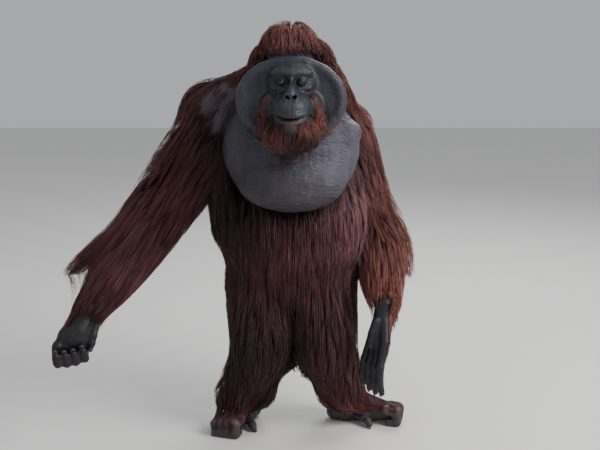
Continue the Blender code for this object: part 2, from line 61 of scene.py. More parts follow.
joints = {
    "shoulderR": (-0.236, -0.015, 1.056), "elbowR": (-0.455, -0.030, 0.728),
    "wristR": (-0.660, -0.235, 0.466), "knucklesR": (-0.704, -0.285, 0.385),
    "shoulderL": (0.140, 0.020, 1.000), "elbowL": (0.262, 0.165, 0.645),
    "wristL": (0.270, -0.135, 0.468), "knucklesL": (0.250, -0.165, 0.352),
    "hipR": (-0.125, 0.050, 0.500), "kneeR": (-0.130, -0.070, 0.295), "ankleR": (-0.178, 0.050, 0.085),
    "hipL": (0.062, 0.050, 0.500), "kneeL": (0.092, -0.065, 0.295), "ankleL": (0.150, 0.050, 0.085),
}
joints = {name: Vector(place) for name, place in joints.items()}
up = Vector((0.0, 0.0, 1.0))


def mix(a, b, share):
    return a + (b - a) * share


def onMidline(y, z, x=0.0):
    return Vector((sketch["midline"] + x, y, z))


def pickNone():
    # Leaves nothing selected.
    bpy.ops.object.select_all(action="DESELECT")


def pick(piece):
    pickNone()
    piece.select_set(True)
    bpy.context.view_layer.objects.active = piece


def applied(piece, kind, **settings):
    # Adds a modifier with its settings and applies it.
    pick(piece)
    modifier = piece.modifiers.new(kind.title(), kind)
    for name, value in settings.items():
        setattr(modifier, name, value)
    bpy.ops.object.modifier_apply(modifier=modifier.name)


def joined(pieces, name):
    # Makes one piece of several, under a new name.
    pickNone()
    for piece in pieces:
        piece.select_set(True)
    bpy.context.view_layer.objects.active = pieces[0]
    bpy.ops.object.join()
    pieces[0].name = name
    return pieces[0]


def corners(piece):
    # Places of a mesh's vertices, one row each.
    places = np.empty(len(piece.data.vertices) * 3)
    piece.data.vertices.foreach_get("co", places)
    return places.reshape(-1, 3)


def normals(piece):
    found = np.empty(len(piece.data.vertices) * 3)
    piece.data.vertices.foreach_get("normal", found)
    return found.reshape(-1, 3)


def moveCorners(piece, places):
    piece.data.vertices.foreach_set("co", np.ascontiguousarray(places).ravel())
    piece.data.update()


# Flesh: overlapping balls over the skeleton, copied from one ball and merged into one skin
flesh = {
    "voxel": 0.0040,      # of the merged skin
    "smoothSteps": 4,
    "trunk": (            # height, centre X, centre Y, half width, half depth
        (0.44, -0.030, 0.045, 0.120, 0.090),
        (0.52, -0.026, 0.040, 0.175, 0.130),
        (0.62, -0.024, 0.025, 0.208, 0.155),
        (0.72, -0.030, 0.015, 0.222, 0.168),
        (0.82, -0.040, 0.010, 0.212, 0.160),
        (0.92, -0.050, 0.010, 0.192, 0.142),
        (1.01, -0.052, 0.000, 0.160, 0.118),
        (1.09, -0.045, -0.030, 0.105, 0.095),
    ),
    "padHalfWidth": 0.166, "padHalfHeight": 0.131, "padLevel": 1.130, "padRim": 0.021, "padY": -0.292,
    "fingerBones": (0.080, 0.050, 0.034), "fingerRadius": 0.0150,
    "fistBones": (0.044, 0.040, 0.028), "fistRadius": 0.0158,
    "toeBones": (0.036, 0.036, 0.026), "toeRadius": 0.0185,
}
balls = []
nails = []


def ball(centre, radii, turn=(0.0, 0.0, 0.0)):
    # Notes the place of one ball; turn is in degrees about X, Y and Z.
    turned = Matrix.Rotation(math.radians(turn[2]), 4, "Z")
    turned = turned @ Matrix.Rotation(math.radians(turn[1]), 4, "Y")
    turned = turned @ Matrix.Rotation(math.radians(turn[0]), 4, "X")
    balls.append(Matrix.Translation(Vector(centre) + origin) @ turned @ Matrix.Diagonal((*radii, 1.0)))


def ballRow(points, radii, stretch=(1.0, 1.0, 1.0)):
    # Balls along a line of points, whose radius changes evenly.
    for start, end, first, last in zip(points, points[1:], radii, radii[1:]):
        count = max(2, math.ceil((end - start).length / (0.34 * min(first, last))))
        for step in range(count + 1):
            share = step / count
            radius = mix(first, last, share)
            ball(mix(start, end, share), [radius * s for s in stretch])


def digit(knuckle, heading, curlAxis, bones, radius, curls, nailSize=1.0):
    # A finger or toe with a thicker joint at each knuckle and a nail on its tip.
    points = [knuckle]
    direction = heading.normalized()
    for length, curl in zip(bones, curls):
        direction = Matrix.Rotation(math.radians(curl), 3, curlAxis) @ direction
        points.append(points[-1] + direction * length)
    ballRow(points, [radius, radius * 0.92, radius * 0.84, radius * 0.70])
    for place, size in zip(points[1:3], (1.04, 0.95)):
        ball(place, (radius * size,) * 3)
    back = -curlAxis.cross(direction).normalized()
    nails.append((points[-1], direction, back, radius * 0.70 * nailSize))


def trunkAt(height):
    for lower, upper in zip(flesh["trunk"], flesh["trunk"][1:]):
        if height <= upper[0]:
            break
    share = min(1.0, max(0.0, (height - lower[0]) / (upper[0] - lower[0])))
    return [mix(a, b, share) for a, b in zip(lower, upper)]


def trunkFlesh():
    for step in range(27):
        height = mix(0.44, 1.09, step / 26)
        _, x, y, halfWidth, halfDepth = trunkAt(height)
        ball((x, y, height), (halfWidth, halfDepth, 0.062))
    ballRow([joints["shoulderR"], Vector((-0.050, 0.015, 1.050)), joints["shoulderL"]],
            [0.066, 0.085, 0.060])
    ball(onMidline(-0.070, 1.130), (0.098, 0.112, 0.088), (15, 0, 0))
    ballRow([onMidline(-0.055, 1.165, -0.082), joints["shoulderR"] + Vector((0.012, 0, 0.020))],
            [0.064, 0.060])
    ballRow([onMidline(-0.055, 1.165, 0.082), joints["shoulderL"] + Vector((-0.012, 0, 0.040))],
            [0.052, 0.050])
    crest = [(-0.140, -0.050, 1.150), (-0.235, -0.035, 1.122), (-0.305, -0.030, 1.092)]
    ballRow([Vector(place) for place in crest], [0.062, 0.057, 0.055])
    ballRow([onMidline(-0.075, 1.170, 0.095), Vector((0.120, -0.035, 1.090))], [0.042, 0.042])
    ball((-0.045, 0.075, 0.950), (0.170, 0.085, 0.150))
    ball((-0.030, 0.095, 0.560), (0.145, 0.072, 0.115))
    for side in (-1.0, 1.0):  # chest and shoulder blades
        ball((-0.045 + side * 0.085, -0.070, 0.960), (0.080, 0.062, 0.070))
        ball((-0.045 + side * 0.090, 0.095, 0.985), (0.070, 0.050, 0.085), (0, side * 15, 0))


def armFlesh(side):
    shoulder = joints["shoulder" + side]
    elbow = joints["elbow" + side]
    wrist = joints["wrist" + side]
    ball(shoulder, (0.076,) * 3)
    ballRow([shoulder, mix(shoulder, elbow, 0.5), elbow], [0.070, 0.054, 0.048])
    ballRow([elbow, mix(elbow, wrist, 0.30), mix(elbow, wrist, 0.72), wrist], [0.048, 0.052, 0.038, 0.031])


def legFlesh(side):
    hip = joints["hip" + side]
    knee = joints["knee" + side]
    ankle = joints["ankle" + side]
    ballRow([hip, mix(hip, knee, 0.5), knee], [0.092, 0.076, 0.058])
    ballRow([knee, mix(knee, ankle, 0.35) + Vector((0, 0.020, 0)), ankle], [0.058, 0.056, 0.034])


def fistFlesh():
    wrist = joints["wristR"]
    knuckles = joints["knucklesR"]
    across = Vector((0.93, 0.34, 0.10)).normalized()
    ballRow([wrist, mix(wrist, knuckles, 0.6)], [0.032, 0.035], (1.12, 0.9, 1.0))
    palm = mix(wrist, knuckles, 0.85)
    ball(palm + Vector((0.004, 0.012, 0.002)), (0.056, 0.036, 0.048), (0, 0, 20))
    for index in range(4):
        offset = (index - 1.5) * 0.0272
        sag = -0.007 * (1.0 - abs(index - 1.5) / 1.5)
        knuckle = knuckles + across * offset + up * sag
        heading = Vector((0.04, -0.12, -1.0))
        digit(knuckle, heading, across, flesh["fistBones"], flesh["fistRadius"], (16, -98, -80))
    thumb = wrist + across * 0.030 + Vector((0.0, -0.026, -0.034))
    digit(thumb, Vector((-0.12, -0.50, -0.85)), across, (0.034, 0.024, 0.016), 0.0135, (0, 10, 20), 0.9)


def openHandFlesh():
    wrist = joints["wristL"]
    knuckles = joints["knucklesL"]
    across = Vector((0.50, -0.86, -0.06)).normalized()
    ballRow([wrist, mix(wrist, knuckles, 0.5), knuckles], [0.030, 0.031, 0.026])
    for index in range(4):
        offset = (index - 1.5) * 0.0240
        rise = 0.007 * abs(index - 1.5)
        knuckle = knuckles + across * offset + up * rise
        heading = (knuckles - wrist) + across * (0.008 * (index - 1.5)) + Vector((-0.022, 0.0, 0.0))
        ballRow([mix(wrist, knuckle, 0.4), knuckle], [0.018, 0.0168])
        digit(knuckle, heading, across, flesh["fingerBones"], flesh["fingerRadius"], (6, 12, 16), 0.80)
    thumb = mix(wrist, knuckles, 0.40) + Vector((-0.022, -0.024, 0.0))
    digit(thumb, Vector((-0.35, -0.25, -1.0)), across, (0.034, 0.026, 0.018), 0.0135, (0, 12, 16), 0.9)


def footFlesh(side):
    ankle = joints["ankle" + side]
    outward = -1.0 if side == "R" else 1.0
    forward = Vector((-0.40, -0.92, 0.0)) if side == "R" else Vector((0.985, -0.17, 0.0))
    forward.normalize()
    inward = Vector((forward.y, -forward.x, 0.0)) * outward
    heel = Vector((ankle.x, ankle.y, 0.031)) - forward * 0.025
    ballOfFoot = heel + forward * (0.160 if side == "R" else 0.175) + up * 0.014
    ball(heel, (0.035, 0.035, 0.030))
    ballRow([ankle + up * 0.020, heel + forward * 0.030], [0.033, 0.035])
    ballRow([ankle + forward * 0.020, ballOfFoot], [0.035, 0.027])
    ballRow([heel, ballOfFoot - up * 0.008], [0.031, 0.028])
    for index in range(4):
        knuckle = ballOfFoot - inward * ((index - 1.5) * 0.0240) + up * (0.014 - 0.004 * index)
        heading = forward + up * 0.10
        digit(knuckle, heading, inward * outward, flesh["toeBones"], flesh["toeRadius"], (-12, -86, -80))
    root = heel + forward * 0.080 + inward * 0.026
    heading = forward * 0.75 + inward * 0.70
    digit(root, heading, inward * outward, (0.028, 0.020, 0.014), 0.0160, (-4, -16, -16), 0.9)


def headFlesh():
    ball(onMidline(-0.185, 1.215), (0.090, 0.115, 0.082))
    ball(onMidline(-0.160, 1.222, 0.003), (0.094, 0.105, 0.078))
    ball(onMidline(-0.158, 1.270, -0.006), (0.066, 0.080, 0.064))
    ball(onMidline(-0.130, 1.150), (0.102, 0.098, 0.098))
    ball(onMidline(-0.262, 1.185), (0.088, 0.070, 0.070))
    brow = [onMidline(-0.314, 1.212, -0.056), onMidline(-0.325, 1.213), onMidline(-0.314, 1.212, 0.056)]
    ballRow(brow, [0.010, 0.0125, 0.010])
    ballRow([onMidline(-0.324, 1.202), onMidline(-0.370, 1.154)], [0.010, 0.0115])
    ballRow([onMidline(-0.370, 1.149, -0.012), onMidline(-0.370, 1.149, 0.012)], [0.0125, 0.0125])
    ball(onMidline(-0.318, 1.120), (0.064, 0.091, 0.045), (8, 0, 0))
    ball(onMidline(-0.352, 1.106), (0.056, 0.068, 0.033), (6, 0, 0))
    for side in (-1.0, 1.0):
        ballRow([onMidline(-0.320, 1.165, side * 0.018), onMidline(-0.310, 1.169, side * 0.052)],
                [0.012, 0.012])
        ball(onMidline(-0.308, 1.116, side * 0.064), (0.029, 0.036, 0.039))
        centre = onMidline(-0.160, 1.190, side * 0.122)  # ear
        for step in range(14):
            angle = 2 * math.pi * step / 14
            rim = Vector((side * 0.003, math.sin(angle) * 0.011, math.cos(angle) * 0.016))
            ball(centre + rim, (0.0058,) * 3)
        ball(centre - Vector((side * 0.008, 0, 0)), (0.011, 0.011, 0.017))
    ball(onMidline(-0.350, 1.080), (0.049, 0.062, 0.028))
    ball(onMidline(-0.343, 1.057), (0.047, 0.055, 0.034))
    ball(onMidline(-0.290, 1.060), (0.076, 0.076, 0.048))
    ball(onMidline(-0.330, 1.032), (0.052, 0.046, 0.030))


def padFlesh():
    # A thick rim, and wide flat balls inside it for the dish
    for share, steps in ((1.0, 84), (0.80, 60), (0.60, 44), (0.40, 30), (0.20, 16)):
        for step in range(steps):
            angle = 2 * math.pi * step / steps
            x = math.cos(angle) * (flesh["padHalfWidth"] - flesh["padRim"]) * share
            z = math.sin(angle) * (flesh["padHalfHeight"] - flesh["padRim"]) * share
            y = flesh["padY"] + 0.10 * z + 0.020 * abs(math.cos(angle)) * share
            rim = flesh["padRim"] * (1.0 - 0.10 * max(0.0, math.sin(angle)))
            radii = (rim, rim * 1.1, rim) if share == 1.0 else (0.036, 0.0175, 0.036)
            ball(onMidline(y + (0.0 if share == 1.0 else 0.003), flesh["padLevel"] + z, x), radii)


def pouchFlesh():
    ball((-0.0275, -0.140, 0.967), (0.214, 0.135, 0.190))
    ball((-0.0260, -0.185, 0.885), (0.176, 0.115, 0.108), (8, 0, 0))
    ball((0.118, -0.150, 1.003), (0.078, 0.080, 0.050), (0, -24, 0))


def smooth(value, low, high):
    # 0 below low, 1 above high, and an even rise between them.
    share = np.clip((value - low) / (high - low), 0.0, 1.0)
    return share * share * (3.0 - 2.0 * share)


def hill(x, z, centreX, centreZ, sizeX, sizeZ):
    return np.exp(-(((x - centreX) / sizeX) ** 2 + ((z - centreZ) / sizeZ) ** 2))


def pouchShare(places, spread=1.0):
    # 1 on the bare throat pouch, 0 elsewhere
    x, y, z = places[:, 0], places[:, 1], places[:, 2]
    upper = ((x + 0.0275) / 0.216) ** 2 + ((y + 0.140) / 0.148) ** 2 + ((z - 0.962) / 0.194) ** 2
    lower = ((x + 0.0260) / 0.182) ** 2 + ((y + 0.185) / 0.122) ** 2 + ((z - 0.885) / 0.116) ** 2
    corner = ((x - 0.118) / 0.090) ** 2 + ((y + 0.150) / 0.090) ** 2 + ((z - 1.003) / 0.066) ** 2
    inside = np.minimum(np.minimum(upper, lower), corner)
    front = np.maximum(smooth(z, 0.800, 0.840), smooth(-y, 0.165, 0.195))
    return (1.0 - smooth(inside, 1.03 * spread, 1.11 * spread)) * smooth(-y, 0.070, 0.115) * front


def mergedBalls(name):
    # Copies one ball to every noted place, joins the copies and merges them to one closed skin.
    bpy.ops.mesh.primitive_uv_sphere_add(segments=20, ring_count=12, radius=1.0)
    first = bpy.context.active_object
    copies = []
    for place in balls:
        twin = bpy.data.objects.new(name, first.data.copy())
        twin.data.transform(place)
        scene.collection.objects.link(twin)
        copies.append(twin)
    bpy.data.objects.remove(first)
    merged = joined(copies, name)
    applied(merged, "REMESH", mode="VOXEL", voxel_size=flesh["voxel"])
    applied(merged, "SMOOTH", factor=0.5, iterations=flesh["smoothSteps"])
    # The pouch and the pads are slack and even, so they are smoothed further
    places = corners(merged) - shift
    ring = np.hypot((places[:, 0] - sketch["midline"]) / flesh["padHalfWidth"],
                    (places[:, 2] - flesh["padLevel"]) / flesh["padHalfHeight"])
    onDish = smooth(ring, 0.45, 0.60) * (places[:, 1] < -0.225) * (ring < 1.15)
    middle = hill(places[:, 0] - sketch["midline"], places[:, 2], 0.0, 1.195, 0.070, 0.050)
    middle = middle * (places[:, 1] < -0.27)
    for share, steps in ((pouchShare(places, 1.15), 70), (onDish, 12), (np.clip(1.3 * middle, 0, 1), 9)):
        group = merged.vertex_groups.new(name="slack")
        for level in np.linspace(0.1, 1.0, 10):
            chosen = np.nonzero((share > level - 0.1) & (share <= level))[0]
            group.add(chosen.tolist(), float(level), "REPLACE")
        applied(merged, "SMOOTH", factor=0.5, iterations=steps, vertex_group="slack")
        merged.vertex_groups.clear()
    places = corners(merged)
    places[:, 2] = np.maximum(places[:, 2], 0.0005)  # soles and toes rest flat on the floor
    moveCorners(merged, places)
    return merged


pickNone()
trunkFlesh()
headFlesh()
padFlesh()
pouchFlesh()
for side in ("R", "L"):
    armFlesh(side)
    legFlesh(side)
    footFlesh(side)
fistFlesh()
openHandFlesh()
skin = mergedBalls("skin")
print("flesh merged:", len(balls), "balls,", len(skin.data.vertices), "corners")


# Face: folds pressed and raised in the merged skin, measured from the midline of the head
face = {
    "eyeLevel": 1.186, "eyeMiddleY": -0.3235,
    "eyeRadius": sketch["eyeRadius"], "eyeOut": sketch["eyeSpacing"] / 2,
    "lidThickness": 0.0017, "slitHalfWidth": 0.0090, "slitHalfHeight": 0.0027,
    "mouthLevel": 1.087, "mouthHalfWidth": 0.050, "mouthRise": 0.011,
    "nostrilLevel": 1.1475, "nostrilOut": 0.0105,
}


def lineGap(x, z, line):
    # Distance from each point to a line of points, in the plane of the face.
    nearest = np.full(len(x), 9.0)
    for (ax, az), (bx, bz) in zip(line, line[1:]):
        dx, dz = bx - ax, bz - az
        share = np.clip(((x - ax) * dx + (z - az) * dz) / (dx * dx + dz * dz), 0.0, 1.0)
        nearest = np.minimum(nearest, np.hypot(x - ax - share * dx, z - az - share * dz))
    return nearest


def ripple(places, scale, seed):
    # A smooth field of slow waves between about -1 and 1, the same on each run.
    waves = np.random.default_rng(seed)
    total = np.zeros(len(places))
    for _ in range(7):
        heading = waves.normal(size=3)
        heading /= np.linalg.norm(heading)
        pitch = waves.uniform(0.6, 1.7) / scale
        total += np.sin(places @ heading * pitch * 2 * math.pi + waves.uniform(0, 6.28))
    return total / 3.5


def subdivideWhere(piece, inside, cuts=1):
    # Divides the faces whose corners all lie in the marked part.
    pick(piece)
    bpy.ops.object.mode_set(mode="EDIT")
    bpy.ops.mesh.select_mode(type="FACE")
    bpy.ops.mesh.select_all(action="DESELECT")
    bpy.ops.object.mode_set(mode="OBJECT")
    marks = inside.tolist()
    chosen = [all(marks[v] for v in face.vertices) for face in piece.data.polygons]
    piece.data.polygons.foreach_set("select", chosen)
    bpy.ops.object.mode_set(mode="EDIT")
    bpy.ops.mesh.subdivide(number_cuts=cuts)
    bpy.ops.object.mode_set(mode="OBJECT")
    pickNone()


def faceFrame(piece):
    # Corner places in the sketch's frame, and x from the midline.
    places = corners(piece) - shift
    return places, places[:, 0] - sketch["midline"], places[:, 1], places[:, 2]


def refineFace():
    _, x, y, z = faceFrame(skin)
    front = y < -0.285
    subdivideWhere(skin, front & (np.abs(x) < 0.078) & (z > 1.045) & (z < 1.250))
    _, x, y, z = faceFrame(skin)
    eyes = (np.abs(np.abs(x) - face["eyeOut"]) < 0.021) & (y < -0.29)
    eyes &= np.abs(z - face["eyeLevel"]) < 0.017
    nose = (np.abs(x) < 0.024) & (np.abs(z - face["nostrilLevel"]) < 0.013) & (y < -0.34)
    subdivideWhere(skin, eyes | nose)


def sculptFolds():
    # Brow, cheeks, nose, lips and the folds between them.
    places, x, y, z = faceFrame(skin)
    out = normals(skin)
    front = smooth(-y, 0.27, 0.30) * (out[:, 1] < 0.2)
    push = np.zeros(len(x))
    push += 0.0034 * np.exp(-(lineGap(x, z, [(-0.052, 1.210), (-0.026, 1.215), (0.0, 1.209),
                                              (0.026, 1.215), (0.052, 1.210)]) / 0.0085) ** 2)
    for level, depth in ((1.2245, 0.0022), (1.2330, 0.0022), (1.2415, 0.0018)):
        line = [(-0.046, level - 0.004), (-0.020, level + 0.002), (0.0, level), (0.020, level + 0.002),
                (0.046, level - 0.004)]
        push -= depth * np.exp(-(lineGap(x, z, line) / 0.0022) ** 2)
        line = [(px, pz + 0.0042) for px, pz in line]
        push += 0.6 * depth * np.exp(-(lineGap(x, z, line) / 0.0026) ** 2)
    for side in (-1.0, 1.0):
        # Bag and two folds below the eye, and the hollow at its inner corner
        push += 0.0028 * hill(x, z, side * 0.031, 1.1695, 0.019, 0.0065)
        for drop, depth in ((0.0112, 0.0009), (0.0185, 0.0013), (0.0265, 0.0009)):
            fold = [(side * 0.012, 1.186 - drop * 0.8), (side * 0.030, 1.186 - drop),
                    (side * 0.050, 1.186 - drop * 0.55)]
            push -= depth * np.exp(-(lineGap(x, z, fold) / 0.0019) ** 2)
        push -= 0.0030 * hill(x, z, side * 0.0135, 1.190, 0.0055, 0.0080)
        # Crow's feet
        for lift in (-0.006, 0.0, 0.006):
            line = [(side * 0.044, 1.186 + lift * 0.4), (side * 0.060, 1.187 + lift * 1.6)]
            push -= 0.0013 * np.exp(-(lineGap(x, z, line) / 0.0017) ** 2)
        # Fold from the nose past the corner of the mouth, and the soft trench before the cheek pad
        fold = [(side * 0.019, 1.158), (side * 0.036, 1.145), (side * 0.056, 1.120), (side * 0.066, 1.094)]
        push -= 0.0024 * np.exp(-(lineGap(x, z, fold) / 0.0050) ** 2)
        trench = [(side * 0.062, 1.222), (side * 0.078, 1.186), (side * 0.090, 1.140), (side * 0.094, 1.090)]
        push -= 0.0026 * np.exp(-(lineGap(x, z, trench) / 0.0140) ** 2)
        # Wing of the nostril
        wing = [(side * 0.0165, 1.1560), (side * 0.0185, 1.1475), (side * 0.0145, 1.1400)]
        push += 0.0032 * np.exp(-(lineGap(x, z, wing) / 0.0036) ** 2)
    push += 0.0025 * hill(x, z, 0.0, 1.158, 0.008, 0.010)
    push -= 0.0024 * hill(x, z, 0.0, 1.188, 0.010, 0.012)
    # Cleft below the nose, lips and the mouth between them
    push -= 0.0012 * np.exp(-(lineGap(x, z, [(0.0, 1.138), (0.0, 1.104)]) / 0.0035) ** 2)
    bend = face["mouthRise"] * (x / face["mouthHalfWidth"]) ** 2
    below = z - face["mouthLevel"] - bend
    across = 1.0 - smooth(np.abs(x), face["mouthHalfWidth"] - 0.010, face["mouthHalfWidth"] + 0.003)
    push += across * 0.0032 * np.exp(-((below - 0.0085) / 0.0065) ** 2)
    push += across * 0.0046 * np.exp(-((below + 0.0095) / 0.0060) ** 2)
    push -= across * 0.0042 * np.exp(-((below + 0.0235) / 0.0060) ** 2)
    push -= across * 0.0110 * np.exp(-(below / 0.0026) ** 2)
    for offset, depth in ((0.020, 0.0007), (0.030, 0.0007)):
        push -= across * depth * np.exp(-((below - offset) / 0.0020) ** 2)
    places += out * (push * front)[:, None]
    moveCorners(skin, places + shift)


def sculptNostrils():
    places, x, y, z = faceFrame(skin)
    for side in (-1.0, 1.0):
        dx = (x - side * face["nostrilOut"]) * side
        dz = z - face["nostrilLevel"]
        along = dx * 0.80 + dz * 0.60
        over = -dx * 0.60 + dz * 0.80
        away = np.hypot(along / 0.0090, over / 0.0040)
        deep = (1.0 - smooth(away, 0.55, 1.05)) * (y < -0.345)
        places[:, 1] += 0.0125 * deep
        places[:, 2] += 0.0030 * deep
    moveCorners(skin, places + shift)


def sculptLids():
    # Lids lie on the eyeball and leave a narrow slit, inside which the skin ducks behind the eye.
    places, x, y, z = faceFrame(skin)
    lidRadius = face["eyeRadius"] + face["lidThickness"]
    for side in (-1.0, 1.0):
        dx = x - side * face["eyeOut"]
        dz = z - face["eyeLevel"]
        away = np.hypot(dx, dz)
        near = (away < 0.024) & (y < -0.285)
        bulge = np.sqrt(np.maximum(lidRadius ** 2 - away ** 2, 0.0052 ** 2))
        lidY = face["eyeMiddleY"] - bulge
        hold = 1.0 - smooth(away, 0.0100, 0.0190)
        share = np.clip(np.abs(dx) / face["slitHalfWidth"], 0.0, 1.0)
        height = face["slitHalfHeight"] * np.sqrt(1.0 - share ** 2) + 1e-6
        tilt = dz + side * dx * 0.10 + 0.0006
        opening = 1.0 - smooth(np.abs(tilt) / height, 0.80, 1.25)
        opening *= (np.abs(dx) < face["slitHalfWidth"])
        # Thick edge of each lid
        edge = np.exp(-((np.abs(tilt) - height - 0.0012) / 0.0013) ** 2) * (np.abs(dx) < 0.0115)
        fold = np.exp(-((tilt - height - 0.0058) / 0.0011) ** 2) * (np.abs(dx) < 0.0125)
        lidY = lidY - 0.0007 * edge + 0.0012 * fold
        inside = face["eyeMiddleY"] - np.sqrt(np.maximum((face["eyeRadius"] - 0.0028) ** 2 - away ** 2, 0.0))
        target = mix(lidY, inside, opening)
        places[near, 1] = mix(y, target, hold)[near]
    moveCorners(skin, places + shift)


def sculptPads():
    # Thick uneven rims and a shallow dish on the cheek pads.
    places, x, y, z = faceFrame(skin)
    out = normals(skin)
    ring = np.hypot(x / flesh["padHalfWidth"], (z - flesh["padLevel"]) / flesh["padHalfHeight"])
    onPad = smooth(-y, 0.235, 0.250) * smooth(ring, 0.55, 0.75) * (1.0 - smooth(ring, 1.08, 1.14))
    swell = 0.0012 * ripple(places, 0.060, 3) + 0.0005 * ripple(places, 0.022, 4)
    places += out * (swell * onPad)[:, None]
    moveCorners(skin, places + shift)


def sculptPouch():
    # Slack skin: long folds along the sag, crossed by finer ones.
    places, x, _, z = faceFrame(skin)
    out = normals(skin)
    hang = z + 0.20 * (x / 0.20) ** 2 * 0.25 + 0.006 * ripple(places, 0.11, 11)
    fine = np.sin(hang * 2 * math.pi / 0.0125 + 1.1 * ripple(places, 0.05, 12))
    broad = np.sin(hang * 2 * math.pi / 0.034 + 1.4 * ripple(places, 0.09, 13))
    share = 0.55 + 0.45 * ripple(places, 0.10, 14)
    swell = 0.0008 * fine * share + 0.0009 * broad * share + 0.0005 * ripple(places, 0.030, 15)
    places += out * (swell * pouchShare(places))[:, None]
    moveCorners(skin, places + shift)


refineFace()
sculptFolds()
sculptNostrils()
sculptLids()
sculptPads()
sculptPouch()
print("face and pouch sculpted")


# Markings: one set of masks and colours, read by the skin and by the roots of the coat
tints = {
    # The pad rim tint is a painted highlight.
    "slate": (0.017, 0.018, 0.025), "padRim": (0.034, 0.038, 0.052), "eyeBand": (0.005, 0.005, 0.006),
    # The nose tint is a painted highlight.
    "browHighlight": (0.040, 0.041, 0.050), "muzzleHighlight": (0.036, 0.041, 0.060), "nose": (0.034, 0.040, 0.056),
    "lip": (0.018, 0.020, 0.021), "chin": (0.110, 0.058, 0.062),
    "pouch": (0.029, 0.026, 0.036), "pouchHighlight": (0.088, 0.084, 0.118), "pouchWarm": (0.060, 0.043, 0.052),
    "shoulderPatch": (0.060, 0.047, 0.064), "hand": (0.010, 0.010, 0.013), "foot": (0.062, 0.044, 0.042),
    "toe": (0.030, 0.028, 0.033),
    "coat": (0.060, 0.027, 0.033), "coatDark": (0.014, 0.008, 0.009), "coatRed": (0.112, 0.040, 0.041),
    "coatOrange": (0.250, 0.092, 0.072), "coatPaleAndLit": (0.230, 0.115, 0.130),
    "coatSheen": (0.180, 0.105, 0.140),
}
tints = {name: np.array(colour) for name, colour in tints.items()}


def painted(colours, name, share):
    # Lays one tint over the colours by a share for each point
    return colours + (tints[name] - colours) * share[:, None]


def spot(p, centre, size):
    # A soft spot around a place in the sketch's frame
    return np.exp(-sum(((p[:, axis] - centre[axis]) / size[axis]) ** 2 for axis in range(3)))


def boneGap(p, start, end):
    # Distance to the line from start to end, and the share of the way along it
    start, end = np.array(start), np.array(end)
    run = end - start
    share = np.clip((p - start) @ run / (run @ run), 0.0, 1.0)
    return np.linalg.norm(p - start - share[:, None] * run, axis=1), share


def coatTint(p):
    # Colour of the hair that grows at each place
    x = p[:, 0] - sketch["midline"]
    colours = np.tile(tints["coat"], (len(p), 1))
    armR = smooth(-p[:, 0], 0.20, 0.34)
    armL = smooth(p[:, 0], 0.150, 0.230) * smooth(p[:, 2], 0.30, 0.42)
    colours = painted(colours, "coatRed", 0.55 * armR)
    reach = smooth(-p[:, 0] - 0.9 * (1.05 - p[:, 2]) * 0.62, -0.02, 0.10) * armR  # outer side of the arm, painted lighter as rim light
    colours = painted(colours, "coatRed", 0.5 * reach)
    # The inner side is darker, partly darker hair and partly painted shade
    colours = painted(colours, "coatDark", 0.85 * armR * (1.0 - reach))
    colours = painted(colours, "coatDark", 0.60 * spot(p, (-0.600, -0.200, 0.530), (0.060, 0.200, 0.080)))
    colours = painted(colours, "coatDark", 0.65 * spot(p, (-0.170, -0.080, 0.380), (0.065, 0.200, 0.110)))
    # Left arm redder, and more orange towards its outer side: partly the hair's own colour, partly painted
    # light on its lit side
    colours = painted(colours, "coatRed", 0.9 * armL)
    colours = painted(colours, "coatOrange", 0.62 * armL * smooth(p[:, 0], 0.17, 0.27))
    # Left side of the belly is paler, partly paler hair and partly painted light on its lit side; the chest
    # below the pouch and the groin are darker as painted shade
    colours = painted(colours, "coatPaleAndLit", 0.95 * spot(p, (0.165, -0.070, 0.780), (0.095, 0.160, 0.180)))
    colours = painted(colours, "coatRed", 0.75 * spot(p, (0.020, -0.150, 0.690), (0.170, 0.120, 0.120)))
    colours = painted(colours, "coatRed", 0.85 * spot(p, (0.130, -0.040, 0.180), (0.090, 0.200, 0.160)))
    # Painted shade below the pouch
    colours = painted(colours, "coatDark", 0.80 * spot(p, (-0.190, -0.110, 0.830), (0.080, 0.140, 0.130)))
    # Painted shade between the legs
    colours = painted(colours, "coatDark", 0.60 * spot(p, (-0.030, -0.100, 0.360), (0.080, 0.160, 0.120)))
    # Crown, mane and beard
    head = smooth(p[:, 2], 1.13, 1.19)
    colours = painted(colours, "coatRed", 0.90 * head)
    colours = painted(colours, "coatOrange", 0.45 * head * smooth(p[:, 2], 1.26, 1.33))
    mane = smooth(x, 0.09, 0.15) * smooth(p[:, 2], 0.98, 1.06)
    colours = painted(colours, "coatOrange", 0.45 * mane)
    # Painted shadow under the fringe along the hairline
    hairline = spot(p, (sketch["midline"], -0.270, 1.262), (0.110, 0.060, 0.026))
    colours = painted(colours, "coatDark", 0.85 * hairline)
    # Painted sheen on the front of the crown
    crown = spot(p, (sketch["midline"], -0.250, 1.305), (0.050, 0.060, 0.022))
    colours = painted(colours, "coatSheen", 0.55 * crown)
    whisker = smooth(-p[:, 1], 0.27, 0.31) * (1.0 - smooth(p[:, 2], 1.16, 1.18)) * (np.abs(x) < 0.12)
    colours = painted(colours, "coatOrange", 0.60 * whisker * (0.6 + 0.4 * smooth(x, -0.05, 0.05)))
    colours = painted(colours, "coatDark", 0.80 * whisker * (1.0 - smooth(np.abs(x - 0.030), 0.030, 0.060))
                      * (1.0 - smooth(p[:, 2], 1.050, 1.075)))
    return colours * (1.0 + 0.16 * ripple(p, 0.16, 21) + 0.10 * ripple(p, 0.05, 22))[:, None]


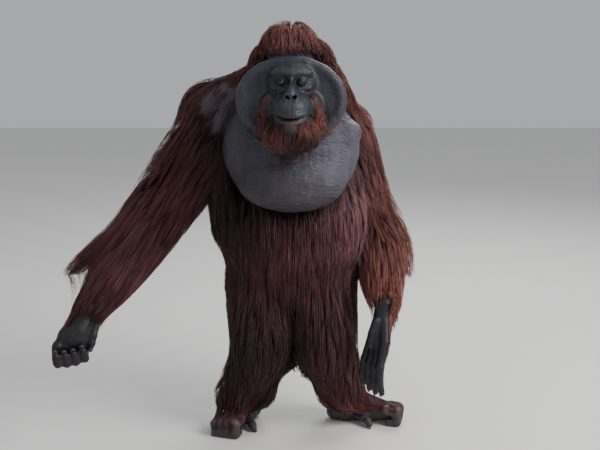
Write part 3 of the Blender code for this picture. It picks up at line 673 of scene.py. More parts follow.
def bareShares(p):
    # Where the skin shows: face with its pads, pouch, shoulder patch, hands and feet
    x = p[:, 0] - sketch["midline"]
    ring = np.hypot(x / flesh["padHalfWidth"], (p[:, 2] - flesh["padLevel"]) / flesh["padHalfHeight"])
    forward = smooth(-p[:, 1], 0.222, 0.242)
    hairline = 1.0 - smooth(p[:, 2], 1.256, 1.268)
    bareFace = forward * (1.0 - smooth(ring, 1.04, 1.09)) * hairline
    shares = {"face": bareFace, "pouch": pouchShare(p) * (1.0 - bareFace)}
    gap = np.linalg.norm((p - np.array((-0.238, -0.075, 1.090))) * np.array((1.0, 0.8, 0.85)), axis=1)
    shares["shoulder"] = (1.0 - smooth(gap, 0.056, 0.080)) * (1.0 - bareFace)
    shares["shoulder"] = shares["shoulder"] * smooth(-p[:, 1], 0.015, 0.045)
    hands = np.zeros(len(p))
    for side in ("R", "L"):
        far = (p - np.array(joints["wrist" + side])) @ np.array(
            (joints["knuckles" + side] - joints["wrist" + side]).normalized())
        near = np.linalg.norm(p - np.array(joints["knuckles" + side]), axis=1) < 0.21
        near &= (p[:, 0] > 0.188) | (side == "R")
        hands = np.maximum(hands, smooth(far, -0.050, -0.015) * near)
    shares["hand"] = hands
    feet = (1.0 - smooth(p[:, 2], 0.075, 0.105)) * (p[:, 2] < 0.13)
    shares["foot"] = feet
    ears = (np.abs(np.abs(x) - 0.125) < 0.022) & (np.abs(p[:, 2] - 1.19) < 0.030)
    ears &= np.abs(p[:, 1] + 0.160) < 0.028
    shares["ear"] = ears * 1.0
    return shares


def skinTint(p, shares):
    x = p[:, 0] - sketch["midline"]
    y, z = p[:, 1], p[:, 2]
    colours = coatTint(p) * 0.55
    colours = painted(colours, "slate", shares["face"])
    ring = np.hypot(x / flesh["padHalfWidth"], (z - flesh["padLevel"]) / flesh["padHalfHeight"])
    # Painted highlight along the pad rims, stronger on the pad towards -x, and a fainter painted highlight on
    # the dish of that pad
    rim = np.exp(-((ring - 0.95) / 0.085) ** 2) * shares["face"]
    paler = 0.35 + 0.45 * smooth(-x, 0.02, 0.12) + 0.15 * smooth(x, 0.08, 0.14)
    colours = painted(colours, "padRim", rim * paler)
    dish = spot(p, (-0.145, -0.30, 1.150), (0.030, 0.1, 0.075))
    colours = painted(colours, "padRim", 0.35 * shares["face"] * dish)
    inFront = smooth(-y, 0.29, 0.31)
    # Painted highlight along the brow ridge, and a fainter one over the forehead
    colours = painted(colours, "browHighlight", 0.65 * inFront * hill(x, z, 0.0, 1.2190, 0.044, 0.0085))
    colours = painted(colours, "browHighlight", 0.30 * inFront * hill(x, z, 0.0, 1.240, 0.060, 0.016))
    # Dark band across the eyes: partly dark skin, partly painted shade under the brow ridge
    eyeBandShade = hill(x, z, 0.0, 1.1880, 0.070, 0.0150)
    colours = painted(colours, "eyeBand", np.clip(1.15 * inFront * eyeBandShade, 0, 1))
    colours = painted(colours, "slate", 0.5 * inFront * hill(x, z, 0.0, 1.172, 0.050, 0.009))
    # Painted highlight on the bridge and tip of the nose
    colours = painted(colours, "nose", 0.9 * inFront * hill(x, z, 0.0, 1.160, 0.017, 0.016))
    # Painted highlight on the upper lip below the nose
    colours = painted(colours, "muzzleHighlight", 0.85 * inFront * hill(x, z, 0.006, 1.1270, 0.042, 0.0110))
    colours = painted(colours, "lip", 0.6 * inFront * hill(x, z, 0.0, 1.1060, 0.046, 0.009))
    bend = face["mouthRise"] * (x / face["mouthHalfWidth"]) ** 2
    below = z - face["mouthLevel"] - bend
    lowerLip = np.exp(-((below - 0.010) / 0.010) ** 2) * (np.abs(x) < 0.060)
    colours = painted(colours, "lip", 0.8 * inFront * lowerLip)
    colours = painted(colours, "chin", 0.85 * inFront * hill(x, z, 0.006, 1.0700, 0.028, 0.0105))
    # Painted shade along the line of the mouth
    mouthShadeLine = np.exp(-(below / 0.0028) ** 2) * (np.abs(x) < 0.050)
    colours = painted(colours, "eyeBand", 0.9 * inFront * mouthShadeLine)
    # Painted shade inside each nostril
    for side in (-1.0, 1.0):
        nostrilShade = hill(x, z, side * face["nostrilOut"], face["nostrilLevel"], 0.0062, 0.0046)
        nostrilShade = nostrilShade * smooth(-y, 0.335, 0.345)
        colours = painted(colours, "eyeBand", np.clip(1.6 * nostrilShade, 0, 1))
    for name, tint in (("pouch", "pouch"), ("shoulder", "shoulderPatch"), ("hand", "hand"), ("foot", "foot"),
                       ("ear", "slate")):
        colours = painted(colours, tint, shares[name])
    # Painted highlight on the pouch: on its right side, on its front and along its left rim
    pouchHighlightShare = shares["pouch"] * (spot(p, (0.130, -0.22, 0.960), (0.085, 0.12, 0.080))
                             + 0.35 * spot(p, (0.050, -0.30, 0.890), (0.090, 0.12, 0.070))
                             + 0.35 * spot(p, (-0.205, -0.20, 0.930), (0.024, 0.12, 0.090)))
    colours = painted(colours, "pouchHighlight", np.clip(0.75 * pouchHighlightShare, 0, 1))
    warmth = spot(p, (0.0, -0.30, 0.840), (0.110, 0.12, 0.040))
    colours = painted(colours, "pouchWarm", 0.6 * shares["pouch"] * warmth)
    colours = painted(colours, "coatRed", 0.55 * shares["foot"] * smooth(z, 0.050, 0.070))
    colours = painted(colours, "toe", shares["foot"] * (1.0 - smooth(z, 0.035, 0.060)) * 0.8)
    shade = 1.0 + 0.14 * ripple(p, 0.05, 31) + 0.08 * ripple(p, 0.018, 32)
    return colours * shade[:, None]


def setColours(piece, name, colours):
    layer = piece.data.color_attributes.new(name, "FLOAT_COLOR", "POINT")
    full = np.ones((len(colours), 4), np.float32)
    full[:, :3] = np.clip(colours, 0.0, 1.0)
    layer.data.foreach_set("color", full.ravel())


def setValues(piece, name, values):
    layer = piece.data.attributes.new(name, "FLOAT", "POINT")
    layer.data.foreach_set("value", np.ascontiguousarray(values, np.float32))


def thinHairedSkin(triangles):
    # Skin under the coat keeps few facets, so that the face, pouch, hands and feet can have many
    places = faceFrame(skin)[0]
    shares = bareShares(places)
    bare = np.maximum.reduce([shares[name] for name in ("face", "pouch", "hand", "foot", "ear")])
    hairy = np.where(bare < 0.2)[0]
    group = skin.vertex_groups.new(name="haired")
    group.add(hairy.tolist(), 1.0, "REPLACE")
    total = sum(len(face.vertices) - 2 for face in skin.data.polygons)
    applied(skin, "DECIMATE", ratio=triangles / total, vertex_group="haired", vertex_group_factor=1.0)
    skin.vertex_groups.clear()


def lieOfSkin():
    # The skin as arrays, taken before it is thinned, for the coat to grow on
    skin.data.calc_loop_triangles()
    faces = np.empty(len(skin.data.loop_triangles) * 3, np.int32)
    skin.data.loop_triangles.foreach_get("vertices", faces)
    return {"places": corners(skin) - shift, "normals": normals(skin), "faces": faces.reshape(-1, 3)}


lie = lieOfSkin()
thinHairedSkin(190000)
places, x, y, z = faceFrame(skin)
shares = bareShares(places)
setColours(skin, "marking", skinTint(places, shares))
fromMiddle = np.hypot(x / flesh["padHalfWidth"], (z - flesh["padLevel"]) / flesh["padHalfHeight"])
setValues(skin, "padGrain", shares["face"] * (0.22 + 0.78 * smooth(fromMiddle, 0.50, 0.68)))
setValues(skin, "pouchGrain", shares["pouch"])
setValues(skin, "handGrain", np.maximum(shares["hand"], shares["foot"]))
wet = smooth(-y, 0.30, 0.32) * hill(x, z, 0.0, 1.150, 0.016, 0.010)
setValues(skin, "wet", wet)
pick(skin)
bpy.ops.object.shade_smooth()
print("skin has", sum(len(f.vertices) - 2 for f in skin.data.polygons), "triangles")


# Eyes: a ball with a brown iris, under a clear wet layer
eyes = {"white": (0.006, 0.005, 0.005), "iris": (0.012, 0.006, 0.004), "pupil": (0.002, 0.002, 0.002),
        "irisRadius": 0.0062, "pupilRadius": 0.0027, "corneaRise": 0.0011}


def makeEye(side, name):
    centre = Vector((sketch["midline"] + side * sketch["eyeSpacing"] / 2, sketch["eyeMiddle"].y,
                     sketch["eyeMiddle"].z)) + origin
    bpy.ops.mesh.primitive_uv_sphere_add(segments=48, ring_count=32, radius=sketch["eyeRadius"],
                                         location=centre, rotation=(math.pi / 2, 0.0, 0.0))
    eye = bpy.context.active_object
    eye.name = name
    bpy.ops.object.transform_apply(location=True, rotation=True, scale=True)
    points = corners(eye) - np.array(centre)
    gaze = np.array((-side * 0.03, -1.0, -0.05))
    gaze /= np.linalg.norm(gaze)
    ahead = points @ gaze
    out = np.linalg.norm(points - ahead[:, None] * gaze, axis=1)
    rise = eyes["corneaRise"] * (1.0 - smooth(out, 0.0, eyes["irisRadius"] * 1.25)) * (ahead > 0)
    points += gaze * rise[:, None]
    moveCorners(eye, points + np.array(centre))
    colours = np.tile(np.array(eyes["white"]), (len(points), 1))
    iris = (1.0 - smooth(out, eyes["irisRadius"] * 0.92, eyes["irisRadius"] * 1.05)) * (ahead > 0)
    pupil = (1.0 - smooth(out, eyes["pupilRadius"] * 0.9, eyes["pupilRadius"] * 1.2)) * (ahead > 0)
    for share, tint in ((iris, "iris"), (pupil, "pupil")):
        colours += (np.array(eyes[tint]) - colours) * share[:, None]
    setColours(eye, "marking", colours)
    bpy.ops.object.shade_smooth()
    return eye


eyeBalls = [makeEye(-1.0, "eyeball_right"), makeEye(1.0, "eyeball_left")]
for eye, node in zip(eyeBalls, ("eye_right", "eye_left")):
    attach(eye, "root")
    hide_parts(node)


# Nails: a thin curved plate over the tip of each finger and toe
def makeNails():
    plates = []
    for tip, direction, back, radius in nails:
        bpy.ops.mesh.primitive_uv_sphere_add(segments=20, ring_count=12, radius=1.0)
        plate = bpy.context.active_object
        across = direction.cross(back).normalized()
        rotation = Matrix((across, direction, back)).transposed().to_4x4()
        size = Matrix.Diagonal((radius * 0.78, radius * 1.05, radius * 0.36, 1.0))
        centre = tip + origin + back * radius * 0.74 + direction * radius * 0.32
        plate.data.transform(Matrix.Translation(centre) @ rotation @ size)
        plates.append(plate)
    whole = joined(plates, "nails")
    bpy.ops.object.shade_smooth()
    return whole


nailPlates = makeNails()
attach(nailPlates, "root")
fleshNodes = [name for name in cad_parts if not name.startswith("eye")]
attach(skin, "root")
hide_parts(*fleshNodes)
print("eyes and nails made")


# Coat: locks of thin solid hairs that leave the skin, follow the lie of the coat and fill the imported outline
armLines = {
    "R": (
        ([(-0.236, -0.015, 1.056), (-0.455, -0.030, 0.728),
          (-0.660, -0.235, 0.466), (-0.704, -0.285, 0.385)], 0.070),
        ([(-0.312, -0.020, 1.036), (-0.430, -0.030, 0.866), (-0.548, -0.080, 0.686), (-0.631, -0.120, 0.635),
          (-0.752, -0.165, 0.572)], 0.050),
        ([(-0.315, -0.010, 0.860), (-0.440, -0.050, 0.700),
          (-0.545, -0.130, 0.575), (-0.625, -0.210, 0.480)], 0.060),
    ),
    "L": (
        ([(0.140, 0.020, 1.000), (0.262, 0.165, 0.645),
          (0.270, -0.135, 0.468), (0.250, -0.165, 0.352)], 0.070),
        ([(0.200, 0.080, 0.900), (0.285, 0.120, 0.700),
          (0.330, 0.110, 0.600), (0.378, 0.060, 0.512)], 0.055),
        ([(0.275, 0.090, 0.620), (0.300, 0.000, 0.510), (0.308, -0.070, 0.430)], 0.050),
    ),
}
hair = {
    "rings": 3,             # along each hair, below its tip
    "lowestLayer": 0.08,    # how deep in the coat a lock may lie
    "gather": (0.40 - 0.30, 0.40 + 0.25),    # how closely hairs meet in a lock
    "stray": 0.18,          # share of hairs that keep out of the locks
    "patch": 0.003,         # width of a hair's patch on the OFBake map
    "floorGap": 0.003,      # between the floor and the lowest hair
}
whorl = (sketch["midline"] - 0.006, -0.105, 1.325)
coatLengths = {"trunk": 0.150, "head": 0.095, "arm": 0.150, "leg": 0.150, "hand": 0.055, "foot": 0.078,
               "beard": 0.082, "moustache": 0.034}


def unit(vectors):
    return vectors / np.maximum(np.linalg.norm(vectors, axis=1), 1e-9)[:, None]


def along(lines, p):
    # Mean heading of the lines near each point, and the distance to the nearest
    total = np.zeros_like(p)
    nearest = np.full(len(p), 9.0)
    for line, radius in lines:
        for start, end in zip(line, line[1:]):
            gap, _ = boneGap(p, start, end)
            heading = np.array(end) - np.array(start)
            heading /= np.linalg.norm(heading)
            total += heading * np.exp(-(gap / radius) ** 2 * 1.2)[:, None]
            nearest = np.minimum(nearest, gap)
    return unit(total + 1e-6 * np.array((0, 0, -1.0))), nearest


def lieOfCoat(p):
    # Heading of the hair at each place: down the trunk and legs, along the arms, outward from the whorl
    x = p[:, 0] - sketch["midline"]
    y, z = p[:, 1], p[:, 2]
    flows = []
    down = np.tile((0.0, 0.0, -1.0), (len(p), 1))
    trunk = down.copy()
    trunk[:, 0] += 0.10 * np.clip(x / 0.2, -1, 1) + 0.10 * ripple(p, 0.20, 51)
    trunk[:, 1] += -0.05 + 0.08 * ripple(p, 0.22, 52)
    gap, _ = boneGap(p, (-0.030, 0.030, 0.50), (-0.048, 0.000, 1.02))
    flows.append((trunk, gap - 0.185))
    for side, outward in (("R", -1.0), ("L", 1.0)):
        heading, gap = along(armLines[side], p)
        flows.append((heading + 0.16 * down, gap - 0.060))
        leg = down.copy()
        leg[:, 0] += outward * 0.10 * (1.0 - smooth(z, 0.15, 0.30)) + 0.08 * ripple(p, 0.16, 53)
        leg[:, 1] += -0.06
        knee, ankle = joints["knee" + side], joints["ankle" + side]
        one, _ = boneGap(p, joints["hip" + side], knee)
        two, _ = boneGap(p, knee, ankle)
        flows.append((leg, np.minimum(one, two) - 0.070))
    away = p - np.array(whorl)
    away[:, 2] = np.minimum(away[:, 2], 0.0) * 0.9 - 0.004
    away[:, 0] *= 1.45
    gap, _ = boneGap(p, (sketch["midline"], -0.150, 1.150), (sketch["midline"], -0.165, 1.225))
    flows.append((unit(away), gap - 0.095))
    # Shoulders: hair runs outward from the neck before it turns down the arms
    for side, outward in (("R", -1.0), ("L", 1.0)):
        gap, _ = boneGap(p, (sketch["midline"] + outward * 0.06, 0.0, 1.12), joints["shoulder" + side])
        heading = np.tile(unit(np.array([[outward * 0.75, 0.0, -0.65]])), (len(p), 1))
        flows.append((heading, gap - 0.060))
    total = np.zeros_like(p)
    for flow, gap in flows:
        total += unit(flow) * np.exp(-np.clip(gap, -0.06, 0.5) / 0.022)[:, None]
    heading = unit(total)
    # Whiskers: out and down from the lip, down from the chin
    faceShare = smooth(-y, 0.262, 0.285) * (1.0 - smooth(z, 1.160, 1.180))
    faceShare = faceShare * smooth(z, 0.96, 0.98) * (np.abs(x) < 0.125)
    whisker = np.stack((np.sign(x) * (0.35 + 0.5 * smooth(z, 1.08, 1.12)) * smooth(np.abs(x), 0.0, 0.06),
                        np.full(len(p), -0.12), np.full(len(p), -1.0)), axis=1)
    heading = unit(heading * (1.0 - faceShare)[:, None] + unit(whisker) * faceShare[:, None])
    # Backs of the hands and feet
    footward = smooth(-z, -0.110, -0.085)
    toeL = np.tile((0.93, -0.16, -0.20), (len(p), 1))
    toeR = np.tile((-0.45, -0.80, -0.25), (len(p), 1))
    onFoot = np.where((p[:, 0] > 0.0)[:, None], toeL, toeR)
    return unit(heading * (1.0 - footward)[:, None] + onFoot * footward[:, None])


def closedShell():
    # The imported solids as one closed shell: the outline that the tips of the coat reach
    copies = []
    for name in fleshNodes:
        twin = bpy.data.objects.new("shell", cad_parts[name].data.copy())
        scene.collection.objects.link(twin)
        copies.append(twin)
    shell = joined(copies, "shell")
    bpy.ops.object.mode_set(mode="EDIT")
    bpy.ops.mesh.select_all(action="SELECT")
    bpy.ops.mesh.remove_doubles(threshold=0.00002)
    bpy.ops.object.mode_set(mode="OBJECT")
    applied(shell, "REMESH", mode="VOXEL", voxel_size=0.0070)
    applied(shell, "SMOOTH", factor=0.5, iterations=3)
    return shell


def treeOf(places):
    # Search tree of the places, in their order
    tree = KDTree(len(places))
    for index, place in enumerate(places):
        tree.insert(place, index)
    tree.balance()
    return tree


def nearestIn(tree, p):
    # Index of the place in the tree that is nearest to each point
    return np.fromiter((tree.find(point)[1] for point in p.tolist()), np.int64, len(p))


class Nearest:
    # Nearest corner of a mesh, with its smooth normal
    def __init__(self, places, directions):
        self.places, self.directions = places, directions
        self.tree = treeOf(places)

    def of(self, p):
        found = nearestIn(self.tree, p)
        normal = self.directions[found]
        return found, normal, np.einsum("ij,ij->i", p - self.places[found], normal)


def scattered(places, faces, weights, count):
    # Random points on the mesh, spread by area and weight
    a, b, c = places[faces[:, 0]], places[faces[:, 1]], places[faces[:, 2]]
    area = 0.5 * np.linalg.norm(np.cross(b - a, c - a), axis=1)
    chance = area * weights[faces].mean(axis=1)
    chosen = dice.choice(len(faces), size=count, p=chance / chance.sum())
    u, v = dice.random(count), dice.random(count)
    over = u + v > 1
    u[over], v[over] = 1 - u[over], 1 - v[over]
    points = a[chosen] + u[:, None] * (b - a)[chosen] + v[:, None] * (c - a)[chosen]
    return points, faces[chosen, 0]


def combed(roots, directions, lengths, layers, steps=8):
    # Walks each guide hair from its root through the lie of the coat
    p = roots - directions * 0.002
    path = [p.copy()]
    # Hair at the whorl stands up first, so that no bald spot shows where it parts
    rise = np.exp(-(np.linalg.norm(p - np.array(whorl), axis=1) / 0.072) ** 2)[:, None]
    heading = unit(lieOfCoat(p) * (0.75 - 0.45 * rise) + directions * (0.65 + 0.70 * rise))
    for step in range(1, steps + 1):
        share = step / steps
        pace = (lengths / steps)[:, None]
        bend = (0.35 + 0.35 * share) * (1.0 - 0.55 * rise)
        heading = unit(heading * (1 - bend) + lieOfCoat(p) * bend)
        moved = p + heading * pace
        _, normal, height = skinNear.of(moved)
        _, shellNormal, beyond = shellNear.of(moved)
        room = np.maximum(height - beyond, 0.003)
        want = np.maximum(layers * smooth(np.full(len(p), share), -0.05, 0.32) * room, 0.0012)
        lift = np.clip((want - height) * 0.8, -0.45 * pace[:, 0], 0.80 * pace[:, 0])
        moved += normal * lift[:, None]
        over = np.clip(beyond + 0.001, 0.0, 0.03)
        moved -= shellNormal * over[:, None]
        under = np.clip(0.0008 - height - lift, 0.0, 0.03)
        moved += normal * under[:, None]
        heading = unit(moved - p)
        p = moved
        path.append(p.copy())
    return np.stack(path, axis=1)


def readAlong(path, shares):
    # Points of each path at its own shares of the way; path is hair by step by 3
    steps = path.shape[1] - 1
    position = np.clip(shares, 0, 1) * steps
    low = np.minimum(position.astype(int), steps - 1)
    part = (position - low)[..., None]
    rows = np.arange(len(path))[:, None]
    return path[rows, low] * (1 - part) + path[rows, low + 1] * part


def hairMesh(name, centres, sides, ups, widths, tintsAlong, patch):
    # One closed three-sided hair for each row: rings of three corners and a tip
    count, rings = centres.shape[0], centres.shape[1] - 1
    ring = np.empty((count, rings, 3, 3), np.float32)
    w = widths[:, :rings, None]
    base = centres[:, :rings]
    ring[:, :, 0] = base + sides[:, :rings] * w * 0.5
    ring[:, :, 1] = base - sides[:, :rings] * w * 0.5
    ring[:, :, 2] = base + ups[:, :rings] * w * 0.42
    each = rings * 3 + 1
    verts = np.empty((count, each, 3), np.float32)
    verts[:, :rings * 3] = ring.reshape(count, rings * 3, 3)
    verts[:, -1] = centres[:, -1]
    faces = [(0, 1, 2)]
    for r in range(rings - 1):
        for i in range(3):
            j = (i + 1) % 3
            a, b, c, d = r * 3 + i, r * 3 + j, (r + 1) * 3 + j, (r + 1) * 3 + i
            faces += [(a, d, b), (b, d, c)]
    last = (rings - 1) * 3
    for i in range(3):
        faces.append((last + i, each - 1, last + (i + 1) % 3))
    faces = np.array(faces, np.int32)
    allFaces = (faces[None] + (np.arange(count, dtype=np.int32) * each)[:, None, None]).reshape(-1, 3)
    data = bpy.data.meshes.new(name)
    data.vertices.add(count * each)
    data.vertices.foreach_set("co", verts.ravel())
    data.loops.add(len(allFaces) * 3)
    data.loops.foreach_set("vertex_index", allFaces.ravel())
    data.polygons.add(len(allFaces))
    data.polygons.foreach_set("loop_start", np.arange(len(allFaces), dtype=np.int32) * 3)
    data.polygons.foreach_set("use_smooth", np.ones(len(allFaces), bool))
    data.update(calc_edges=True)
    colours = np.empty((count, each, 3), np.float32)
    colours[:, :rings * 3] = np.repeat(tintsAlong[:, :rings], 3, axis=1)
    colours[:, -1] = tintsAlong[:, -1]
    piece = bpy.data.objects.new(name, data)
    scene.collection.objects.link(piece)
    setColours(piece, "marking", colours.reshape(-1, 3))
    size = hair["patch"]
    spotU = np.empty((count, each), np.float32)
    spotV = np.empty((count, each), np.float32)
    for i in range(3):
        spotU[:, i:rings * 3:3] = (patch[:, 0] + size * (0.1 + 0.4 * i))[:, None]
        spotV[:, i:rings * 3:3] = patch[:, 1][:, None] + size * np.linspace(0.05, 0.9, rings)[None]
    spotU[:, -1] = patch[:, 0] + size * 0.5
    spotV[:, -1] = patch[:, 1] + size
    uv = np.stack((spotU.reshape(-1), spotV.reshape(-1)), axis=1)
    layer = data.uv_layers.new(name="OFBake")
    layer.data.foreach_set("uv", uv[allFaces.ravel()].ravel())
    return piece


def unwrapped(p, kind):
    # Place of each root on the skin rolled flat: round the part, and along it
    if kind.startswith("arm"):
        side = "R" if kind.endswith("R") else "L"
        shoulder, elbow, wrist = (np.array(joints[name + side]) for name in ("shoulder", "elbow", "wrist"))
        one, upper = boneGap(p, shoulder, elbow)
        two, lower = boneGap(p, elbow, wrist)
        onUpper = one < two
        v = np.where(onUpper, 0.5 * upper, 0.5 + 0.5 * lower)
        axis = np.where(onUpper[:, None], shoulder + upper[:, None] * (elbow - shoulder),
                        elbow + lower[:, None] * (wrist - elbow))
        off = p - axis
        run = unit(np.array([wrist - shoulder]))[0]
        sideways = np.cross(run, (0.0, 1.0, 0.0))
        sideways /= np.linalg.norm(sideways)
        u = np.arctan2(off @ sideways, off @ np.cross(run, sideways)) / (2 * math.pi) + 0.5
    else:
        centre = {"legR": (-0.140, 0.0), "legL": (0.100, 0.0)}.get(kind, (-0.035, 0.010))
        if kind == "head":
            centre = (sketch["midline"], -0.170)
        u = np.arctan2(p[:, 0] - centre[0], p[:, 1] - centre[1]) / (2 * math.pi) + 0.5
        low, high = {"head": (0.95, 1.38), "trunk": (0.40, 1.25)}.get(kind, (0.0, 0.55))
        v = (p[:, 2] - low) / (high - low)
    return np.clip(np.stack((u, v), axis=1), 0.002, 0.995)


def coatPiece(name, kind, weights, hairs, locks, length, width):
    # Guides first, one to each lock; then hairs that gather towards their guide as they near its tip
    guideRoots, guideFrom = scattered(lie["places"], lie["faces"], weights, locks)
    guideOut = lie["normals"][guideFrom]
    guideLength = length(guideRoots) * dice.uniform(0.80, 1.20, len(guideRoots))
    guideLength *= 0.75 + 0.50 * np.clip(lie["room"][guideFrom] / 0.05, 0.0, 1.7)
    guideLayer = dice.uniform(hair["lowestLayer"], 1.05, len(guideRoots)) ** 0.65
    guides = combed(guideRoots, guideOut, guideLength, guideLayer)
    guideTone = dice.normal(1.0, 0.13, len(guideRoots))
    roots, rootFrom = scattered(lie["places"], lie["faces"], weights, hairs)
    owner = nearestIn(treeOf(guideRoots), roots)
    out = lie["normals"][rootFrom]
    apart = roots - guideRoots[owner]
    rings = hair["rings"]
    shares = np.linspace(0.0, 1.0, rings + 1) ** 0.92
    shares = shares[None] * dice.uniform(0.70, 1.06, len(roots))[:, None]
    centres = readAlong(guides[owner], np.clip(shares, 0, 1))
    beyond = np.clip(shares - 1.0, 0, None)[..., None]
    centres += beyond * (guides[owner, -1] - guides[owner, -2])[:, None, :] * 8
    gather = dice.uniform(*hair["gather"], len(roots))
    keep = 1.0 - np.clip(gather, 0.0, 0.96)[:, None] * shares ** 0.8
    free = (dice.random(len(roots)) < hair["stray"])[:, None]
    keep = np.where(free, 1.0 + 0.5 * shares, keep)
    centres += apart[:, None, :] * keep[..., None]
    wander = dice.normal(0.0, 1.0, (len(roots), 1, 3)) * (shares ** 1.5)[..., None]
    wander = wander * length(roots)[:, None, None]
    centres += wander * np.where(free[..., None], 0.060, 0.028)
    lift = (shares * (1.0 - shares) * 4.0)[..., None] * dice.uniform(0.0, 0.004, (len(roots), 1, 1))
    centres += out[:, None, :] * lift
    # Keep every ring above the skin and inside the outline
    flat = centres[:, 1:].reshape(-1, 3)
    _, normal, height = skinNear.of(flat)
    sunk = np.clip(0.0010 - height, 0.0, 0.05)
    flat = flat + normal * sunk[:, None]
    _, shellNormal, over = shellNear.of(flat)
    flat = flat - shellNormal * np.clip(over - 0.002, 0.0, 0.05)[:, None]
    flat[:, 2] = np.maximum(flat[:, 2], hair["floorGap"] - shift[2])
    centres[:, 1:] = flat.reshape(len(roots), rings, 3)
    run = np.gradient(centres, axis=1)
    run /= np.maximum(np.linalg.norm(run, axis=2), 1e-9)[..., None]
    upward = out[:, None, :] + 0.35 * dice.normal(size=(len(roots), 1, 3))
    side = np.cross(run, upward)
    side /= np.maximum(np.linalg.norm(side, axis=2), 1e-9)[..., None]
    top = np.cross(side, run)
    profile = np.interp(shares / shares[:, -1:], (0.0, 0.25, 0.6, 1.0), (0.55, 1.0, 0.80, 0.08))
    widths = width * profile * dice.uniform(0.65, 1.25, len(roots))[:, None]
    tone = guideTone[owner] * dice.normal(1.0, 0.13, len(roots))
    colour = coatTint(roots) * np.clip(tone, 0.45, 1.7)[:, None]
    fade = np.interp(shares, (0.0, 0.35, 1.0), (0.42, 0.85, 1.45))
    warm = colour[:, None, :] * fade[..., None]
    warm = warm * (1.0 + shares[..., None] * np.array((0.18, -0.02, -0.14)))
    piece = hairMesh(name, centres + shift, side, top, widths, warm, unwrapped(roots, kind))
    print(name, len(piece.data.polygons), "triangles")
    return piece


shell = closedShell()
shellPlaces = corners(shell) - shift
shellNear = Nearest(shellPlaces, normals(shell))
bpy.data.objects.remove(shell)
skinNear = Nearest(lie["places"], lie["normals"])
print("outline and skin are ready for the coat")


def coatShares(p, out):
    # How thickly hair grows, by part
    x = p[:, 0] - sketch["midline"]
    y, z = p[:, 1], p[:, 2]
    bare = bareShares(p)
    hairy = 1.0 - np.clip(bare["face"] + bare["pouch"] + bare["hand"] + bare["foot"] + bare["ear"]
                          + 0.88 * bare["shoulder"], 0.0, 1.0)
    gaps = {}
    gaps["trunk"] = boneGap(p, (-0.030, 0.030, 0.50), (-0.048, 0.000, 1.05))[0] - 0.150
    neckTop = (sketch["midline"], -0.150, 1.120)
    skullTop = (sketch["midline"], -0.165, 1.240)
    gaps["head"] = boneGap(p, neckTop, skullTop)[0] - 0.085
    for side in ("R", "L"):
        shoulder, elbow, wrist = joints["shoulder" + side], joints["elbow" + side], joints["wrist" + side]
        gaps["arm" + side] = np.minimum(boneGap(p, shoulder, elbow)[0], boneGap(p, elbow, wrist)[0]) - 0.058
        hip, knee, ankle = joints["hip" + side], joints["knee" + side], joints["ankle" + side]
        thighGap = boneGap(p, mix(hip, knee, 0.35), knee)[0]
        gaps["leg" + side] = np.minimum(thighGap, boneGap(p, knee, ankle)[0]) - 0.066
    names = list(gaps)
    nearest = np.argmin(np.stack([gaps[name] for name in names]), axis=0)
    grown = {name: hairy * (nearest == index) for index, name in enumerate(names)}
    chin = hill(x, z, 0.0, 1.030, 0.070, 0.030) * (z < 1.062)
    chin = chin + hill(x, z, 0.0, 1.062, 0.075, 0.022) * (np.abs(x) > 0.030)
    grown["beard"] = np.clip(chin, 0, 1) * smooth(-y, 0.262, 0.280)
    arch = ((0.054, 1.146), (0.068, 1.136), (0.079, 1.112), (0.080, 1.072))
    lip = sum(np.exp(-(lineGap(x * side, z, arch) / 0.009) ** 2) for side in (-1.0, 1.0))
    thinner = 1.0 - 0.92 * smooth(z, 1.100, 1.146)
    grown["moustache"] = smooth(lip, 0.15, 0.8) * thinner * smooth(-y, 0.275, 0.290)
    outer = np.where(p[:, 0] < 0, -out[:, 0], out[:, 0]) + 0.35 * out[:, 1]
    grown["hand"] = bare["hand"] * smooth(outer, 0.15, 0.50) * smooth(z, 0.320, 0.345)
    grown["foot"] = bare["foot"] * smooth(z, 0.050, 0.070) * smooth(out[:, 2], 0.0, 0.4)
    return grown


growth = coatShares(lie["places"], lie["normals"])
lie["room"] = np.clip(-shellNear.of(lie["places"])[2], 0.0, 0.12)
thickness = np.clip(0.5 + lie["room"] / 0.035, 0.5, 3.0)


def armLength(p):
    # Longest behind the elbow and below the arm
    reach = np.zeros(len(p))
    for side in ("R", "L"):
        gap, share = boneGap(p, joints["elbow" + side], joints["wrist" + side])
        reach = np.maximum(reach, np.exp(-(gap / 0.10) ** 2) * (1.0 - 0.6 * share))
    wrist = np.full(len(p), 9.0)
    for side in ("R", "L"):
        toWrist = np.array(joints["wrist" + side])
        run = np.array((joints["wrist" + side] - joints["elbow" + side]).normalized())
        wrist = np.where(np.linalg.norm(p - toWrist, axis=1) < 0.25, (toWrist - p) @ run, wrist)
    # The fringe on the outer side of the forearm stays long down to the wrist
    upArm = np.array((joints["elbowR"] - joints["wristR"]).normalized())
    axis = np.array(joints["wristR"]) + wrist[:, None] * upArm
    outer = smooth(axis[:, 0] - p[:, 0], 0.005, 0.035) * (p[:, 0] < -0.40) * smooth(wrist, 0.03, 0.06)
    fade = 0.30 + 0.70 * np.maximum(smooth(wrist, 0.02, 0.17), outer)
    return coatLengths["arm"] * (0.85 + 0.45 * reach + 0.30 * outer) * fade


def trunkLength(p):
    low = 0.25 * smooth(-p[:, 2], -0.80, -0.60)
    return coatLengths["trunk"] * (0.85 + low + 0.20 * smooth(p[:, 1], 0.0, 0.10))


def legLength(p):
    # Long between the thighs, where it hangs as a curtain
    between = spot(p, (-0.110, -0.050, 0.420), (0.085, 0.200, 0.110))
    return coatLengths["leg"] * (0.70 + 0.35 * smooth(p[:, 2], 0.12, 0.30) + 0.55 * between)


